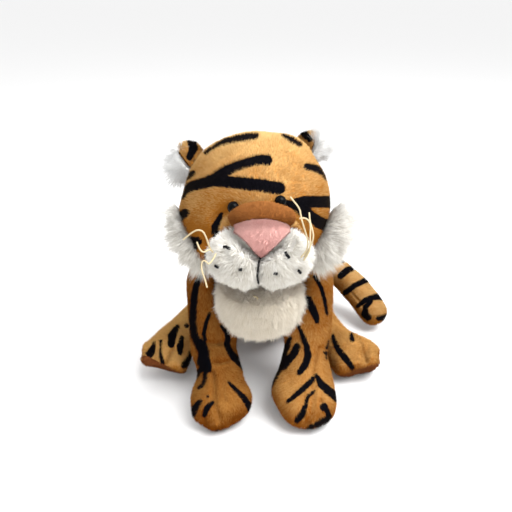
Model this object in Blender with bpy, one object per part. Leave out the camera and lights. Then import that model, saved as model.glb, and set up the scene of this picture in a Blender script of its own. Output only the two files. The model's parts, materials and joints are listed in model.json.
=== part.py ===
# Sitting plush tiger: stuffed covers, a head that nods and turns, legs that swing, a tail that wags
# and ears that fold. Metres, +Z up. The tiger faces -Y and +X is its own left side.
# The origin is the middle of the flat spot that the seat rests on.

import math

import bmesh
import bpy
from mathutils import Matrix, Vector

# Clearances and cloth
GAP = 0.0003  # air between pieces that touch
PLUSH = 0.003  # backing cloth with its pile
FLOOR_FLAT = 0.0005  # how deep stuffed pieces are pressed flat by the floor
OVERRUN = 0.06  # how far a cutting tool runs past what it cuts
BLOCK_SIZE = 0.50  # of the cutting blocks that take everything on one side of a plane
WELD = 0.00001  # vertices closer than this become one

# Head ball and the neck that carries it
HEAD_RADIUS = 0.0535
HEAD_ASIDE = -0.0025
HEAD_FORWARD = 0.073
HEAD_HEIGHT = 0.157
HEAD_PITCH = math.radians(20.0)  # nose up
HEAD_ROLL = math.radians(7.0)  # left side up
NECK_RADIUS = 0.0308
NECK_FORWARD = 0.055
NECK_HEIGHT = 0.092
TURN_ROOM = 0.0008  # air round the neck ball and the tail's root, which turn in their seats
COLLAR_RISE = 0.009  # the torso's upper edge over the neck's centre
COLLAR_TILT = math.radians(10.0)  # the upper edge falls towards the chest

# Muzzle, in the head's frame: half sizes and places from the head's centre
MUZZLE_HALF_WIDTH = 0.029
MUZZLE_HALF_HEIGHT = 0.0235
MUZZLE_HALF_LENGTH = 0.030
MUZZLE_FORWARD = 0.037
MUZZLE_DROP = 0.0200
CHEEK_HALF_WIDTH = 0.0205
CHEEK_HALF_HEIGHT = 0.0185
CHEEK_HALF_LENGTH = 0.0195
CHEEK_SPREAD = 0.0135
CHEEK_FORWARD = 0.0525
CHEEK_DROP = 0.0310
NOSE_HALF_WIDTH = 0.0185
NOSE_HALF_HEIGHT = 0.0155
NOSE_HALF_LENGTH = 0.0105
NOSE_FORWARD = 0.0625
NOSE_DROP = 0.0180
NOSE_LEAN = math.radians(38.0)
BRIDGE_HALF_WIDTH = 0.0215
BRIDGE_HALF_HEIGHT = 0.0100
BRIDGE_HALF_LENGTH = 0.0190
BRIDGE_FORWARD = 0.0535
BRIDGE_DROP = 0.0055

# Safety eyes and their washers
EYE_RADIUS = 0.0047
EYE_SPREAD = 0.0155
EYE_SHIFT = 0.0025  # of both eyes towards the left
EYE_RISE = 0.0030
EYE_STEM_RADIUS = 0.0015
EYE_STEM_LENGTH = 0.0090
WASHER_RADIUS = 0.0050
WASHER_THICKNESS = 0.0012
WASHER_DEPTH = 0.0048  # of its outer face under the head's surface

# Cheek ruffs, in the head's frame
RUFF_HALF_THICKNESS = 0.0090
RUFF_HALF_DEPTH = 0.0150
RUFF_HALF_HEIGHT = 0.0245
RUFF_SPREAD = 0.0515
RUFF_FORWARD = 0.0060
RUFF_DROP = 0.0225
RUFF_LEAN = math.radians(16.0)

# Ears
EAR_ANGLE = math.radians(31.5)  # of the ear's root over the head's level
EAR_LEAN = math.radians(27.0)  # of the ear's own middle line from straight out towards the crown
EAR_BACK = 0.0240  # of the root behind the head's middle
EAR_ROOT_RADIUS = 0.0030  # the ear folds about the middle of this round root
EAR_HALF_WIDTH = 0.0155
EAR_HALF_THICKNESS = 0.0140
EAR_HEIGHT = 0.0280
EAR_WIDTH_SHARES = (0.60, 0.92, 1.00, 0.96)
EAR_THICKNESS_SHARES = (0.24, 0.66, 1.00, 0.90)

# Whiskers
WHISKER_RADIUS = 0.0005

# Torso
TORSO_HALF_WIDTH = 0.0425
TORSO_HALF_DEPTH = 0.0440
TORSO_TOP = 0.112
SHOULDER_PLANE = 0.0335  # inner faces of the forelegs
HIP_PLANE = 0.0395  # inner faces of the hind legs
TORSO_HEIGHT_SHARES = (0.0, 0.28, 0.62, 1.0)
TORSO_LEAN_SHARES = (0.0, 0.0, 0.42, 1.10)
TORSO_WIDTH_SHARES = (0.80, 1.00, 0.95, 0.80)
TORSO_DEPTH_SHARES = (0.80, 1.00, 0.94, 0.72)

# Bib on the chest
BIB_HALF_WIDTH = 0.0330
BIB_HALF_DEPTH = 0.0250
BIB_FORWARD = 0.0820
BIB_BOTTOM = 0.0505
BIB_TOP = 0.1080
BIB_WIDTH_SHARES = (0.62, 0.97, 1.00, 0.95)
BIB_DEPTH_SHARES = (0.70, 1.00, 1.00, 0.80)
BIB_FORWARD_SHARES = (0.96, 1.0, 1.0, 0.98)

# Bag of pellets in the seat
BAG_HALF_WIDTH = 0.0280
BAG_HALF_HEIGHT = 0.0130

# Forelegs
SHOULDER_FORWARD = 0.0670
SHOULDER_HEIGHT = 0.0930
SHOULDER_SPREAD = 0.0435
PAW_SPREAD = 0.0310
PAW_REACH = 0.1440
PAW_HALF_WIDTH = 0.0245
FORELEG_HALF_DEPTH = 0.0190
FORELEG_SWEEP = 0.0520  # the paw passes the chest outside this radius about the shoulder
PAW_TURN_OUT = {"left": 0.0090, "right": 0.0020}  # how far each toe end is turned out
FORELEG_TURN_SHARES = (0.0, 0.0, 0.0, 0.0, 0.35, 1.0)
FORELEG_SPREAD_SHARES = (0.0, 0.0, 0.25, 0.60, 0.95, 1.0)
FORELEG_REACH_SHARES = (-0.08, 0.0, 0.16, 0.36, 0.62, 1.0)
FORELEG_FALL_SHARES = (-0.17, 0.10, 0.37, 0.60, 0.79, 0.86)
FORELEG_WIDTH_SHARES = (0.56, 0.62, 0.68, 0.80, 0.98, 0.90)
FORELEG_DEPTH_SHARES = (0.85, 0.98, 1.00, 1.00, 0.98, 0.80)

# Hind legs, which end in a flat sole that faces forward and down
HIP_BACK = -0.0080
HIP_HEIGHT = 0.0300
HIP_RADIUS = 0.0195
SOLE_SPREAD = 0.0820
SOLE_FORWARD = 0.0730
SOLE_HEIGHT = 0.0130
SOLE_HALF_LENGTH = 0.0225
SOLE_HALF_HEIGHT = 0.0130
SOLE_DIP = math.radians(34.0)
SOLE_YAW = math.radians(12.0)
SOLE_THICKNESS = 0.0030
HIP_INSET_SHARE = 0.35  # of the hip's radius, from its flat face to the thigh's middle
HEEL_SHARE = 0.42  # of the way from the foot back to the hip
HEEL_OUT_SHARE = 0.10  # of the hip's radius, how far the heel stands out of the straight line
HEEL_DROP_SHARE = 0.15  # of the hip's radius, how far the heel lies under the straight line
HEEL_SLUMP_SHARE = 0.30  # how much more that is on the left side, and less on the right
HIND_WAIST_SHARE = 0.10  # how much thinner the leg is halfway
HIND_BALLS = 7
FOOT_BULGE = 1.14  # the foot's girth over the sole's
FOOT_LENGTH = 0.0115  # from the sole back to the foot's thickest place
FOOT_DEPTH_SHARE = 1.6  # of that length, the foot's half depth before the sole cuts it

# Tail
TAIL_ROOT_BACK = 0.0420
TAIL_ROOT_SPREAD = 0.0130
TAIL_ROOT_HEIGHT = 0.0500
TAIL_ROOT_RADIUS = 0.0095
TAIL_TIP_RADIUS = 0.0142
TAIL_MOUTH_RADIUS = 0.0050  # of the opening by which the tail is filled, hidden in the torso
TAIL_TIP_SPREAD = 0.1160
TAIL_TIP_BACK = -0.0060
TAIL_BOW = 0.0290  # how far the middle bows out behind the line from root to tip
TAIL_CLEARANCE = 0.0006  # the tip's lowest point over the floor
TAIL_SPREAD_SHARES = (0.0, 0.20, 0.54, 0.79, 1.0)
TAIL_BOW_SHARES = (0.0, 0.72, 1.00, 0.62, 0.0)
TAIL_FALL_SHARES = (0.0, 0.0, 0.085, 0.48, 1.10)
TAIL_GIRTH_SHARES = (0.0, 0.15, 0.60, 1.0, 1.0)

# How finely round forms are cut
BALL_SIDES, BALL_RINGS = 26, 14
SMALL_SIDES, SMALL_RINGS = 16, 9
FACE_SIDES, FACE_RINGS = 18, 11
LOFT_SIDES, LOFT_STEPS = 18, 11
INNER_SIDES, INNER_STEPS = 14, 8
EAR_SIDES, EAR_STEPS = 16, 9
BIB_SIDES, BIB_STEPS = 22, 11
SOLE_STEPS = 5
ROUND_TOOL_SIDES = 40
FINE_GRAIN = 0.0084
COARSE_GRAIN = 0.0110
SMOOTHING = 3

SIDES = {"left": 1.0, "right": -1.0}

# Whisker threads: each side's roots and the points they pass, in world places chosen by hand
WHISKERS = {
    "whisker_left_upper": (
        (0.0244, -0.1486, 0.1532), (0.0279, -0.1485, 0.1586), (0.0280, -0.1472, 0.1643),
        (0.0260, -0.1445, 0.1705), (0.0244, -0.1414, 0.1752), (0.0233, -0.1383, 0.1800),
        (0.0205, -0.1360, 0.1833), (0.0180, -0.1335, 0.1857),
    ),
    "whisker_left_middle": (
        (0.0265, -0.1474, 0.1529), (0.0296, -0.1483, 0.1598), (0.0312, -0.1484, 0.1660),
        (0.0307, -0.1463, 0.1700), (0.0296, -0.1411, 0.1733), (0.0294, -0.1355, 0.1765),
    ),
    "whisker_left_lower": (
        (0.0262, -0.1484, 0.1514), (0.0293, -0.1503, 0.1589), (0.0292, -0.1494, 0.1672),
        (0.0294, -0.1466, 0.1726), (0.0282, -0.1455, 0.1758), (0.0257, -0.1449, 0.1770),
        (0.0229, -0.1450, 0.1767),
    ),
    "whisker_right_upper": (
        (-0.0291, -0.1429, 0.1549), (-0.0302, -0.1455, 0.1585), (-0.0315, -0.1467, 0.1647),
        (-0.0335, -0.1466, 0.1692), (-0.0370, -0.1453, 0.1695), (-0.0413, -0.1436, 0.1664),
        (-0.0461, -0.1416, 0.1617),
    ),
    "whisker_right_middle": (
        (-0.0284, -0.1443, 0.1546), (-0.0297, -0.1507, 0.1594), (-0.0322, -0.1586, 0.1617),
        (-0.0341, -0.1605, 0.1644), (-0.0368, -0.1506, 0.1640),
    ),
    "whisker_right_lower": (
        (-0.0265, -0.1466, 0.1545), (-0.0276, -0.1515, 0.1538), (-0.0299, -0.1556, 0.1524),
        (-0.0322, -0.1560, 0.1549), (-0.0339, -0.1570, 0.1541), (-0.0339, -0.1587, 0.1499),
        (-0.0323, -0.1601, 0.1450), (-0.0311, -0.1612, 0.1398),
    ),
}
WHISKER_POINTS = 14


def clear_scene():
    for item in list(bpy.data.objects):
        bpy.data.objects.remove(item, do_unlink=True)


def material(name, colour, roughness):
    made = bpy.data.materials.new(name)
    made.use_nodes = True
    shader = made.node_tree.nodes["Principled BSDF"]
    shader.inputs["Base Color"].default_value = (*colour, 1.0)
    shader.inputs["Roughness"].default_value = roughness
    shader.inputs["Metallic"].default_value = 0.0
    return made


def between(low, high, share):
    return low + (high - low) * share


def smooth_value(values, share):
    """The value at a share of the way through a list, on a smooth curve through all of it."""
    spans = len(values) - 1
    place = min(max(share, 0.0), 1.0) * spans
    index = min(int(place), spans - 1)
    part = place - index
    first, second = values[index], values[index + 1]
    before = values[index - 1] if index > 0 else first + (first - second)
    after = values[index + 2] if index + 2 <= spans else second + (second - first)
    return (
        first * 2.0
        + (second - before) * part
        + (before * 2.0 - first * 5.0 + second * 4.0 - after) * part**2
        + (first * 3.0 - before - second * 3.0 + after) * part**3
    ) * 0.5


def mesh_from(bm, name):
    bmesh.ops.recalc_face_normals(bm, faces=bm.faces)
    if bm.calc_volume(signed=True) < 0.0:
        bmesh.ops.reverse_faces(bm, faces=bm.faces)
    mesh = bpy.data.meshes.new(name)
    bm.to_mesh(mesh)
    bm.free()
    return mesh


def lofted(name, path, widths, depths, across, round_start, round_end, sides, steps):
    """A stuffed tube along a smooth path. Its rings are ovals with their widths laid along the
    direction across, and each end closes round over the given length, or flat where that is zero."""
    bm = bmesh.new()
    count = 4 * steps
    fine = [smooth_value(path, k / count) for k in range(count + 1)]
    travelled = [0.0]
    for k in range(count):
        travelled.append(travelled[-1] + (fine[k + 1] - fine[k]).length)
    total = travelled[-1]
    rings = []
    for step in range(steps + 1):
        share = step / steps
        even = (1.0 - math.cos(math.pi * share)) / 2.0
        share = between(share, even, 0.7)
        centre = smooth_value(path, share)
        ahead = smooth_value(path, min(share + 0.01, 1.0))
        behind = smooth_value(path, max(share - 0.01, 0.0))
        along = (ahead - behind).normalized()
        side = (across - along * across.dot(along)).normalized()
        up = along.cross(side)
        gone = travelled[round(share * count)]
        closing = 1.0
        if round_start and gone < round_start:
            closing = math.sqrt(max(0.0, 1.0 - ((round_start - gone) / round_start) ** 2))
        if round_end and total - gone < round_end:
            closing = math.sqrt(max(0.0, 1.0 - ((round_end - total + gone) / round_end) ** 2))
        if closing < 1e-6:
            rings.append([bm.verts.new(centre)])
            continue
        width = smooth_value(widths, share) * closing
        depth = smooth_value(depths, share) * closing
        turns = [math.tau * k / sides for k in range(sides)]
        rings.append(
            [bm.verts.new(centre + side * width * math.cos(a) + up * depth * math.sin(a)) for a in turns]
        )
    for low, high in zip(rings, rings[1:]):
        for k in range(sides):
            n = (k + 1) % sides
            if len(low) == 1:
                bm.faces.new((low[0], high[k], high[n]))
            elif len(high) == 1:
                bm.faces.new((low[n], low[k], high[0]))
            else:
                bm.faces.new((low[n], low[k], high[k], high[n]))
    for ring in (rings[0], rings[-1]):
        if len(ring) > 1:
            bm.faces.new(ring)
    return mesh_from(bm, name)


def ball(name, centre, radii, turn=None, sides=BALL_SIDES, rings=BALL_RINGS):
    """A ball stretched to the half sizes in radii, turned and then put at centre."""
    bm = bmesh.new()
    bmesh.ops.create_uvsphere(bm, u_segments=sides, v_segments=rings, radius=1.0)
    turn = turn or Matrix.Identity(4)
    bm.transform(Matrix.Translation(centre) @ turn @ Matrix.Diagonal((*radii, 1.0)))
    return mesh_from(bm, name)


def rod(name, start, end, radius, sides=SMALL_SIDES):
    """A round bar from start to end."""
    bm = bmesh.new()
    axis = end - start
    bmesh.ops.create_cone(
        bm, cap_ends=True, segments=sides, radius1=radius, radius2=radius, depth=axis.length
    )
    turn = Vector((0.0, 0.0, 1.0)).rotation_difference(axis).to_matrix().to_4x4()
    bm.transform(Matrix.Translation((start + end) / 2.0) @ turn)
    return mesh_from(bm, name)


def half_space(name, point, outward):
    """A block that covers everything on the outward side of a plane, for cutting."""
    bm = bmesh.new()
    bmesh.ops.create_cube(bm, size=1.0)
    turn = Vector((0.0, 0.0, 1.0)).rotation_difference(outward).to_matrix().to_4x4()
    bm.transform(Matrix.Translation(point) @ turn @ Matrix.Diagonal((BLOCK_SIZE,) * 3 + (1.0,)))
    bm.transform(Matrix.Translation(outward.normalized() * BLOCK_SIZE / 2.0))
    return mesh_from(bm, name)


def offset(mesh, distance):
    """A copy of a closed mesh, grown along its normals, or shrunk where distance is negative."""
    bm = bmesh.new()
    bm.from_mesh(mesh)
    bmesh.ops.triangulate(bm, faces=bm.faces)
    bm.normal_update()
    moves = [vert.normal * distance for vert in bm.verts]
    for vert, move in zip(bm.verts, moves):
        vert.co += move
    return mesh_from(bm, mesh.name + "_offset")


def combined(mesh, tools, operation="DIFFERENCE"):
    """The mesh after each tool is cut from it, or joined to it."""
    holder = bpy.data.objects.new("holder", mesh)
    bpy.context.scene.collection.objects.link(holder)
    helpers = []
    for tool in tools:
        helper = bpy.data.objects.new("tool", tool)
        bpy.context.scene.collection.objects.link(helper)
        helpers.append(helper)
        step = holder.modifiers.new("cut", "BOOLEAN")
        step.operation = operation
        step.solver = "EXACT"
        step.object = helper
    view = bpy.context.evaluated_depsgraph_get()
    view.update()
    result = bpy.data.meshes.new_from_object(holder.evaluated_get(view), depsgraph=view)
    for item in [holder, *helpers]:
        bpy.data.objects.remove(item, do_unlink=True)
    bm = bmesh.new()
    bm.from_mesh(result)
    bmesh.ops.remove_doubles(bm, verts=bm.verts, dist=WELD)
    bmesh.ops.dissolve_degenerate(bm, edges=bm.edges, dist=WELD)
    return mesh_from(bm, mesh.name + "_cut")


def grown_together(name, meshes, grain):
    """One smooth skin over all of the meshes, with faces about as wide as the grain."""
    bm = bmesh.new()
    for mesh in meshes:
        bm.from_mesh(mesh)
    holder = bpy.data.objects.new("holder", mesh_from(bm, name))
    bpy.context.scene.collection.objects.link(holder)
    skin = holder.modifiers.new("skin", "REMESH")
    skin.mode = "VOXEL"
    skin.voxel_size = grain
    ease = holder.modifiers.new("ease", "SMOOTH")
    ease.factor = 0.5
    ease.iterations = SMOOTHING
    view = bpy.context.evaluated_depsgraph_get()
    view.update()
    result = bpy.data.meshes.new_from_object(holder.evaluated_get(view), depsgraph=view)
    bpy.data.objects.remove(holder, do_unlink=True)
    bm = bmesh.new()
    bm.from_mesh(result)
    return mesh_from(bm, name)


def without_crumbs(mesh):
    """The mesh with only its largest body, without the slivers that cutting it left beside it."""
    bm = bmesh.new()
    bm.from_mesh(mesh)
    unseen = set(bm.verts)
    bodies = []
    while unseen:
        body, edge = set(), [next(iter(unseen))]
        while edge:
            vert = edge.pop()
            if vert in body:
                continue
            body.add(vert)
            edge.extend(link.other_vert(vert) for link in vert.link_edges)
        unseen -= body
        bodies.append(body)
    largest = max(bodies, key=len)
    crumbs = [vert for vert in bm.verts if vert not in largest]
    bmesh.ops.delete(bm, geom=crumbs, context="VERTS")
    return mesh_from(bm, mesh.name)


def moved(mesh, shift):
    copy = mesh.copy()
    copy.transform(Matrix.Translation(shift))
    return copy


def lowest(mesh):
    return min(vert.co.z for vert in mesh.vertices)


def floor_tool():
    return half_space("floor_tool", Vector((0.0, 0.0, 0.0)), Vector((0.0, 0.0, -1.0)))


def empty(name, place, parent=None, turn=None):
    made = bpy.data.objects.new(name, None)
    bpy.context.scene.collection.objects.link(made)
    world = Matrix.Translation(place) @ (turn or Matrix.Identity(4))
    made.parent = parent
    made.matrix_basis = parent.matrix_world.inverted() @ world if parent else world
    bpy.context.view_layer.update()
    return made


def piece(name, mesh, finish, carrier):
    """Makes the named object, with its origin at the empty that carries it."""
    mesh = without_crumbs(mesh)
    mesh.transform(carrier.matrix_world.inverted())
    mesh.name = name
    mesh.materials.clear()
    mesh.materials.append(finish)
    mesh.shade_smooth()
    mesh.set_sharp_from_angle(angle=math.radians(50.0))
    made = bpy.data.objects.new(name, mesh)
    bpy.context.scene.collection.objects.link(made)
    made.parent = carrier
    return made


def stuffed(name, form, inner, cuts, cover_finish, fill_finish, carrier):
    """A plush cover with its stuffing. The form is the outside, inner is the same form with fewer
    faces, and the cuts open the cover where it is sewn to the piece it hangs on."""
    cavity = offset(inner, -PLUSH)
    fill = offset(inner, -PLUSH - GAP)
    cover = combined(form, [cavity, *[cut.copy() for cut in cuts]])
    piece(name + "_cover", cover, cover_finish, carrier)
    return piece(name + "_stuffing", combined(fill, cuts), fill_finish, carrier)


def head_centre():
    return Vector((HEAD_ASIDE, -HEAD_FORWARD, HEAD_HEIGHT))


def head_frame():
    """The head's own frame. The eyes, ears and stripes follow its roll."""
    pitch = Matrix.Rotation(-HEAD_PITCH, 4, "X")
    roll = Matrix.Rotation(-HEAD_ROLL, 4, "Y")
    return Matrix.Translation(head_centre()) @ roll @ pitch


def face_frame():
    """The frame that the muzzle and ruffs are sewn in, which is level and over the body's middle."""
    pitch = Matrix.Rotation(-HEAD_PITCH, 4, "X")
    return Matrix.Translation((0.0, -HEAD_FORWARD, HEAD_HEIGHT)) @ pitch


def neck_ball(extra):
    centre = Vector((0.0, -NECK_FORWARD, NECK_HEIGHT))
    radius = NECK_RADIUS + extra
    return ball("neck_ball", centre, (radius, radius, radius), None, FACE_SIDES, FACE_RINGS)


def in_head(mesh):
    mesh.transform(head_frame())
    return mesh


def in_face(mesh):
    mesh.transform(face_frame())
    return mesh


def head_ball(extra=0.0, sides=BALL_SIDES, rings=BALL_RINGS):
    radius = HEAD_RADIUS + extra
    return in_head(ball("head_ball", Vector(), (radius, radius, radius), None, sides, rings))


def eye_direction(side):
    ahead = math.sqrt(HEAD_RADIUS**2 - EYE_SPREAD**2 - EYE_RISE**2)
    return Vector((side * EYE_SPREAD + EYE_SHIFT, -ahead, EYE_RISE)).normalized()


def make_head(finish, neck_pivot, head_pivot):
    socket = neck_ball(TURN_ROOM)
    stems, pockets = [], []
    for word, side in SIDES.items():
        outward = eye_direction(side)
        seat = outward * (HEAD_RADIUS + GAP)
        foot = seat - outward * EYE_STEM_LENGTH
        dome = ball("dome", seat, (EYE_RADIUS,) * 3, None, SMALL_SIDES, SMALL_RINGS)
        stem = rod("stem", foot, seat + outward * EYE_RADIUS / 2.0, EYE_STEM_RADIUS)
        bare = combined(in_head(dome), [head_ball(GAP)])
        eye = combined(bare, [in_head(stem)], "UNION")
        piece("eye_" + word, eye, finish["eye"], head_pivot)
        stems.append(
            in_head(rod("stem", foot - outward * GAP, seat + outward * GAP, EYE_STEM_RADIUS + GAP))
        )
        outer_face = outward * (HEAD_RADIUS - WASHER_DEPTH)
        inner_face = outer_face - outward * WASHER_THICKNESS
        disc = in_head(rod("disc", inner_face, outer_face, WASHER_RADIUS))
        piece("eye_washer_" + word, combined(disc, [stems[-1].copy()]), finish["washer"], head_pivot)
        pockets.append(
            in_head(
                rod("pocket", inner_face - outward * GAP, outer_face + outward * PLUSH, WASHER_RADIUS + GAP)
            )
        )
    form = head_ball()
    inner_form = head_ball(0.0, INNER_SIDES + 4, INNER_STEPS + 3)
    cavity = offset(inner_form, -PLUSH)
    fill = offset(inner_form, -PLUSH - GAP)
    cover = combined(form, [cavity, socket, *[stem.copy() for stem in stems]])
    piece("head_cover", cover, finish["plush"], head_pivot)
    filled = combined(fill, [socket, *stems, *pockets])
    piece("head_stuffing", filled, finish["stuffing"], head_pivot)
    make_muzzle(finish, head_pivot)
    make_ruffs(finish, head_pivot)
    piece("neck_stuffing", neck_ball(0.0), finish["plush"], neck_pivot)


def muzzle_form():
    centre = Vector((0.0, -MUZZLE_FORWARD, -MUZZLE_DROP))
    radii = (MUZZLE_HALF_WIDTH, MUZZLE_HALF_LENGTH, MUZZLE_HALF_HEIGHT)
    return in_face(ball("muzzle_form", centre, radii, None, FACE_SIDES, FACE_RINGS))


def cheek_form(side):
    centre = Vector((side * CHEEK_SPREAD, -CHEEK_FORWARD, -CHEEK_DROP))
    radii = (CHEEK_HALF_WIDTH, CHEEK_HALF_LENGTH, CHEEK_HALF_HEIGHT)
    return in_face(ball("cheek_form", centre, radii, None, FACE_SIDES, FACE_RINGS))


def bridge_form():
    centre = Vector((0.0, -BRIDGE_FORWARD, -BRIDGE_DROP))
    radii = (BRIDGE_HALF_WIDTH, BRIDGE_HALF_LENGTH, BRIDGE_HALF_HEIGHT)
    return in_face(ball("bridge_form", centre, radii, None, FACE_SIDES, FACE_RINGS))


def nose_form():
    centre = Vector((0.0, -NOSE_FORWARD, -NOSE_DROP))
    radii = (NOSE_HALF_WIDTH, NOSE_HALF_LENGTH, NOSE_HALF_HEIGHT)
    turn = Matrix.Rotation(-NOSE_LEAN, 4, "X")
    return in_face(ball("nose_form", centre, radii, turn, FACE_SIDES, FACE_RINGS))


def eye_tools():
    tools = []
    for side in SIDES.values():
        seat = eye_direction(side) * (HEAD_RADIUS + GAP)
        grown = EYE_RADIUS + GAP
        tools.append(in_head(ball("eye_tool", seat, (grown,) * 3, None, SMALL_SIDES, SMALL_RINGS)))
    return tools


def make_muzzle(finish, head_pivot):
    """The cheeks lie before the orange muzzle, the brown bridge over both, and the nose fills the
    notch between cheeks and bridge."""
    skull = head_ball(GAP)
    cheeks = {word: cheek_form(side) for word, side in SIDES.items()}
    bridge = bridge_form()
    nose = nose_form()
    clear_cheeks = [offset(form, GAP) for form in cheeks.values()]
    clear_bridge = offset(bridge, GAP)
    clear_nose = offset(nose, GAP)
    piece("nose_bridge", combined(bridge, [skull, *eye_tools()]), finish["bridge"], head_pivot)
    piece("nose_patch", combined(nose, [clear_bridge.copy(), skull.copy()]), finish["nose"], head_pivot)
    for word, side in SIDES.items():
        middle = Vector((side * GAP / 2.0, 0.0, 0.0))
        outward = Vector((-side, 0.0, 0.0))
        tools = [skull.copy(), clear_bridge.copy(), clear_nose.copy(), half_space("mid", middle, outward)]
        piece("muzzle_cheek_" + word, combined(cheeks[word], tools), finish["white"], head_pivot)
    tools = [skull.copy(), clear_bridge, clear_nose, *clear_cheeks, *eye_tools()]
    piece("muzzle_top", combined(muzzle_form(), tools), finish["plush"], head_pivot)


def make_ruffs(finish, head_pivot):
    for word, side in SIDES.items():
        centre = Vector((side * RUFF_SPREAD, -RUFF_FORWARD, -RUFF_DROP))
        turn = Matrix.Rotation(side * RUFF_LEAN, 4, "Y")
        radii = (RUFF_HALF_THICKNESS, RUFF_HALF_DEPTH, RUFF_HALF_HEIGHT)
        form = in_face(ball("ruff", centre, radii, turn, SMALL_SIDES, SMALL_RINGS))
        piece("cheek_ruff_" + word, combined(form, [head_ball(GAP)]), finish["white"], head_pivot)


def ear_axes(side):
    """The middle of an ear's hinge, its way up, its way out from the head's middle and its hinge."""
    level = math.sqrt(HEAD_RADIUS**2 - EAR_BACK**2)
    root = Vector((side * level * math.cos(EAR_ANGLE), EAR_BACK, level * math.sin(EAR_ANGLE)))
    straight = root.normalized()
    hinge = Vector((0.0, 1.0, 0.0))
    hinge = (hinge - straight * hinge.dot(straight)).normalized()
    up = Matrix.Rotation(-side * EAR_LEAN, 3, hinge) @ straight
    root = straight * (HEAD_RADIUS + EAR_ROOT_RADIUS + GAP)
    turn = head_frame().to_3x3()
    return head_frame() @ root, turn @ up, turn @ (hinge.cross(up) * side), turn @ hinge


def make_ear(word, side, finish, ear_pivot):
    """The plush inner half lies against the head, and the long pile covers the outer half."""
    root, up, outward, hinge = ear_axes(side)
    path = [root - up * EAR_ROOT_RADIUS + up * (EAR_HEIGHT * k / 3.0) for k in range(4)]
    widths = [EAR_HALF_WIDTH * share for share in EAR_WIDTH_SHARES]
    depths = [EAR_HALF_THICKNESS * share for share in EAR_THICKNESS_SHARES]
    form = lofted(
        "ear_form", path, widths, depths, hinge, EAR_ROOT_RADIUS, EAR_HALF_THICKNESS, EAR_SIDES, EAR_STEPS
    )
    inner_side = half_space("inner_side", root + outward * GAP / 2.0, -outward)
    outer_side = half_space("outer_side", root - outward * GAP / 2.0, outward)
    skull = head_ball(GAP)
    piece("ear_" + word, combined(form.copy(), [outer_side, skull]), finish["plush"], ear_pivot)
    fluff = combined(form, [inner_side, skull.copy()])
    piece("ear_fluff_" + word, fluff, finish["white"], ear_pivot)


def torso_form(sides, steps):
    path = []
    for height, lean in zip(TORSO_HEIGHT_SHARES, TORSO_LEAN_SHARES):
        path.append(Vector((0.0, -NECK_FORWARD * lean, TORSO_TOP * height)))
    widths = [TORSO_HALF_WIDTH * share for share in TORSO_WIDTH_SHARES]
    depths = [TORSO_HALF_DEPTH * share for share in TORSO_DEPTH_SHARES]
    rounding = TORSO_HALF_DEPTH / 2.0
    across = Vector((1.0, 0.0, 0.0))
    form = lofted("torso_form", path, widths, depths, across, rounding, rounding, sides, steps)
    return moved(form, Vector((0.0, 0.0, -lowest(form) - FLOOR_FLAT)))


def collar_tool():
    """Everything over the torso's sloping upper edge."""
    point = Vector((0.0, -NECK_FORWARD, NECK_HEIGHT + COLLAR_RISE))
    outward = Vector((0.0, -math.sin(COLLAR_TILT), math.cos(COLLAR_TILT)))
    return half_space("collar_tool", point, outward)


def side_tools(plane):
    """Everything further out than a plane on either side."""
    tools = []
    for side in SIDES.values():
        point = Vector((side * (plane - GAP), 0.0, 0.0))
        tools.append(half_space("side_tool", point, Vector((side, 0.0, 0.0))))
    return tools


def shoulder_tools():
    """The room that the forelegs sweep beside the chest."""
    tools = []
    for side in SIDES.values():
        start = Vector((side * (SHOULDER_PLANE - GAP), -SHOULDER_FORWARD, SHOULDER_HEIGHT))
        end = start + Vector((side * OVERRUN, 0.0, 0.0))
        tools.append(rod("shoulder_tool", start, end, FORELEG_SWEEP, ROUND_TOOL_SIDES))
    return tools


def make_torso(finish, torso_frame):
    form = torso_form(LOFT_SIDES + 4, LOFT_STEPS)
    inner_form = torso_form(INNER_SIDES + 2, INNER_STEPS)
    cuts = [collar_tool(), neck_ball(TURN_ROOM), floor_tool()]
    sides = side_tools(HIP_PLANE) + shoulder_tools() + [tail_ball(TURN_ROOM)]
    cavity = offset(inner_form, -PLUSH)
    thin_sides = []
    for side in SIDES.values():
        point = Vector((side * (SHOULDER_PLANE - GAP - PLUSH), 0.0, 0.0))
        thin_sides.append(half_space("lining", point, Vector((side, 0.0, 0.0))))
    cavity = combined(cavity, thin_sides + [offset(tail_ball(0.0), PLUSH)])
    cover = combined(form, [*cuts, *sides])
    cover = combined(cover, [cavity.copy()])
    piece("torso_cover", cover, finish["plush"], torso_frame)
    bag = ball(
        "bag",
        Vector((0.0, 0.0, PLUSH + GAP + BAG_HALF_HEIGHT)),
        (BAG_HALF_WIDTH, BAG_HALF_WIDTH, BAG_HALF_HEIGHT),
        None,
        SMALL_SIDES,
        SMALL_RINGS,
    )
    bag = combined(bag, [offset(cavity, -GAP)], "INTERSECT")
    fill = combined(offset(cavity, -GAP), [collar_tool(), neck_ball(TURN_ROOM), offset(bag, GAP)])
    piece("torso_stuffing", fill, finish["stuffing"], torso_frame)
    piece("pellet_bag", bag, finish["pellets"], torso_frame)
    make_bib(form, finish, torso_frame)


def make_bib(torso, finish, torso_frame):
    path = []
    for k, forward in enumerate(BIB_FORWARD_SHARES):
        height = between(BIB_BOTTOM, BIB_TOP, k / (len(BIB_FORWARD_SHARES) - 1))
        path.append(Vector((0.0, -BIB_FORWARD * forward, height)))
    widths = [BIB_HALF_WIDTH * share for share in BIB_WIDTH_SHARES]
    depths = [BIB_HALF_DEPTH * share for share in BIB_DEPTH_SHARES]
    across = Vector((1.0, 0.0, 0.0))
    rounding = BIB_HALF_DEPTH / 2.0
    form = lofted("bib_form", path, widths, depths, across, rounding, rounding, BIB_SIDES, BIB_STEPS)
    tools = [offset(torso, GAP), neck_ball(TURN_ROOM), collar_tool()]
    piece("chest_bib", combined(form, tools), finish["white"], torso_frame)


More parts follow.
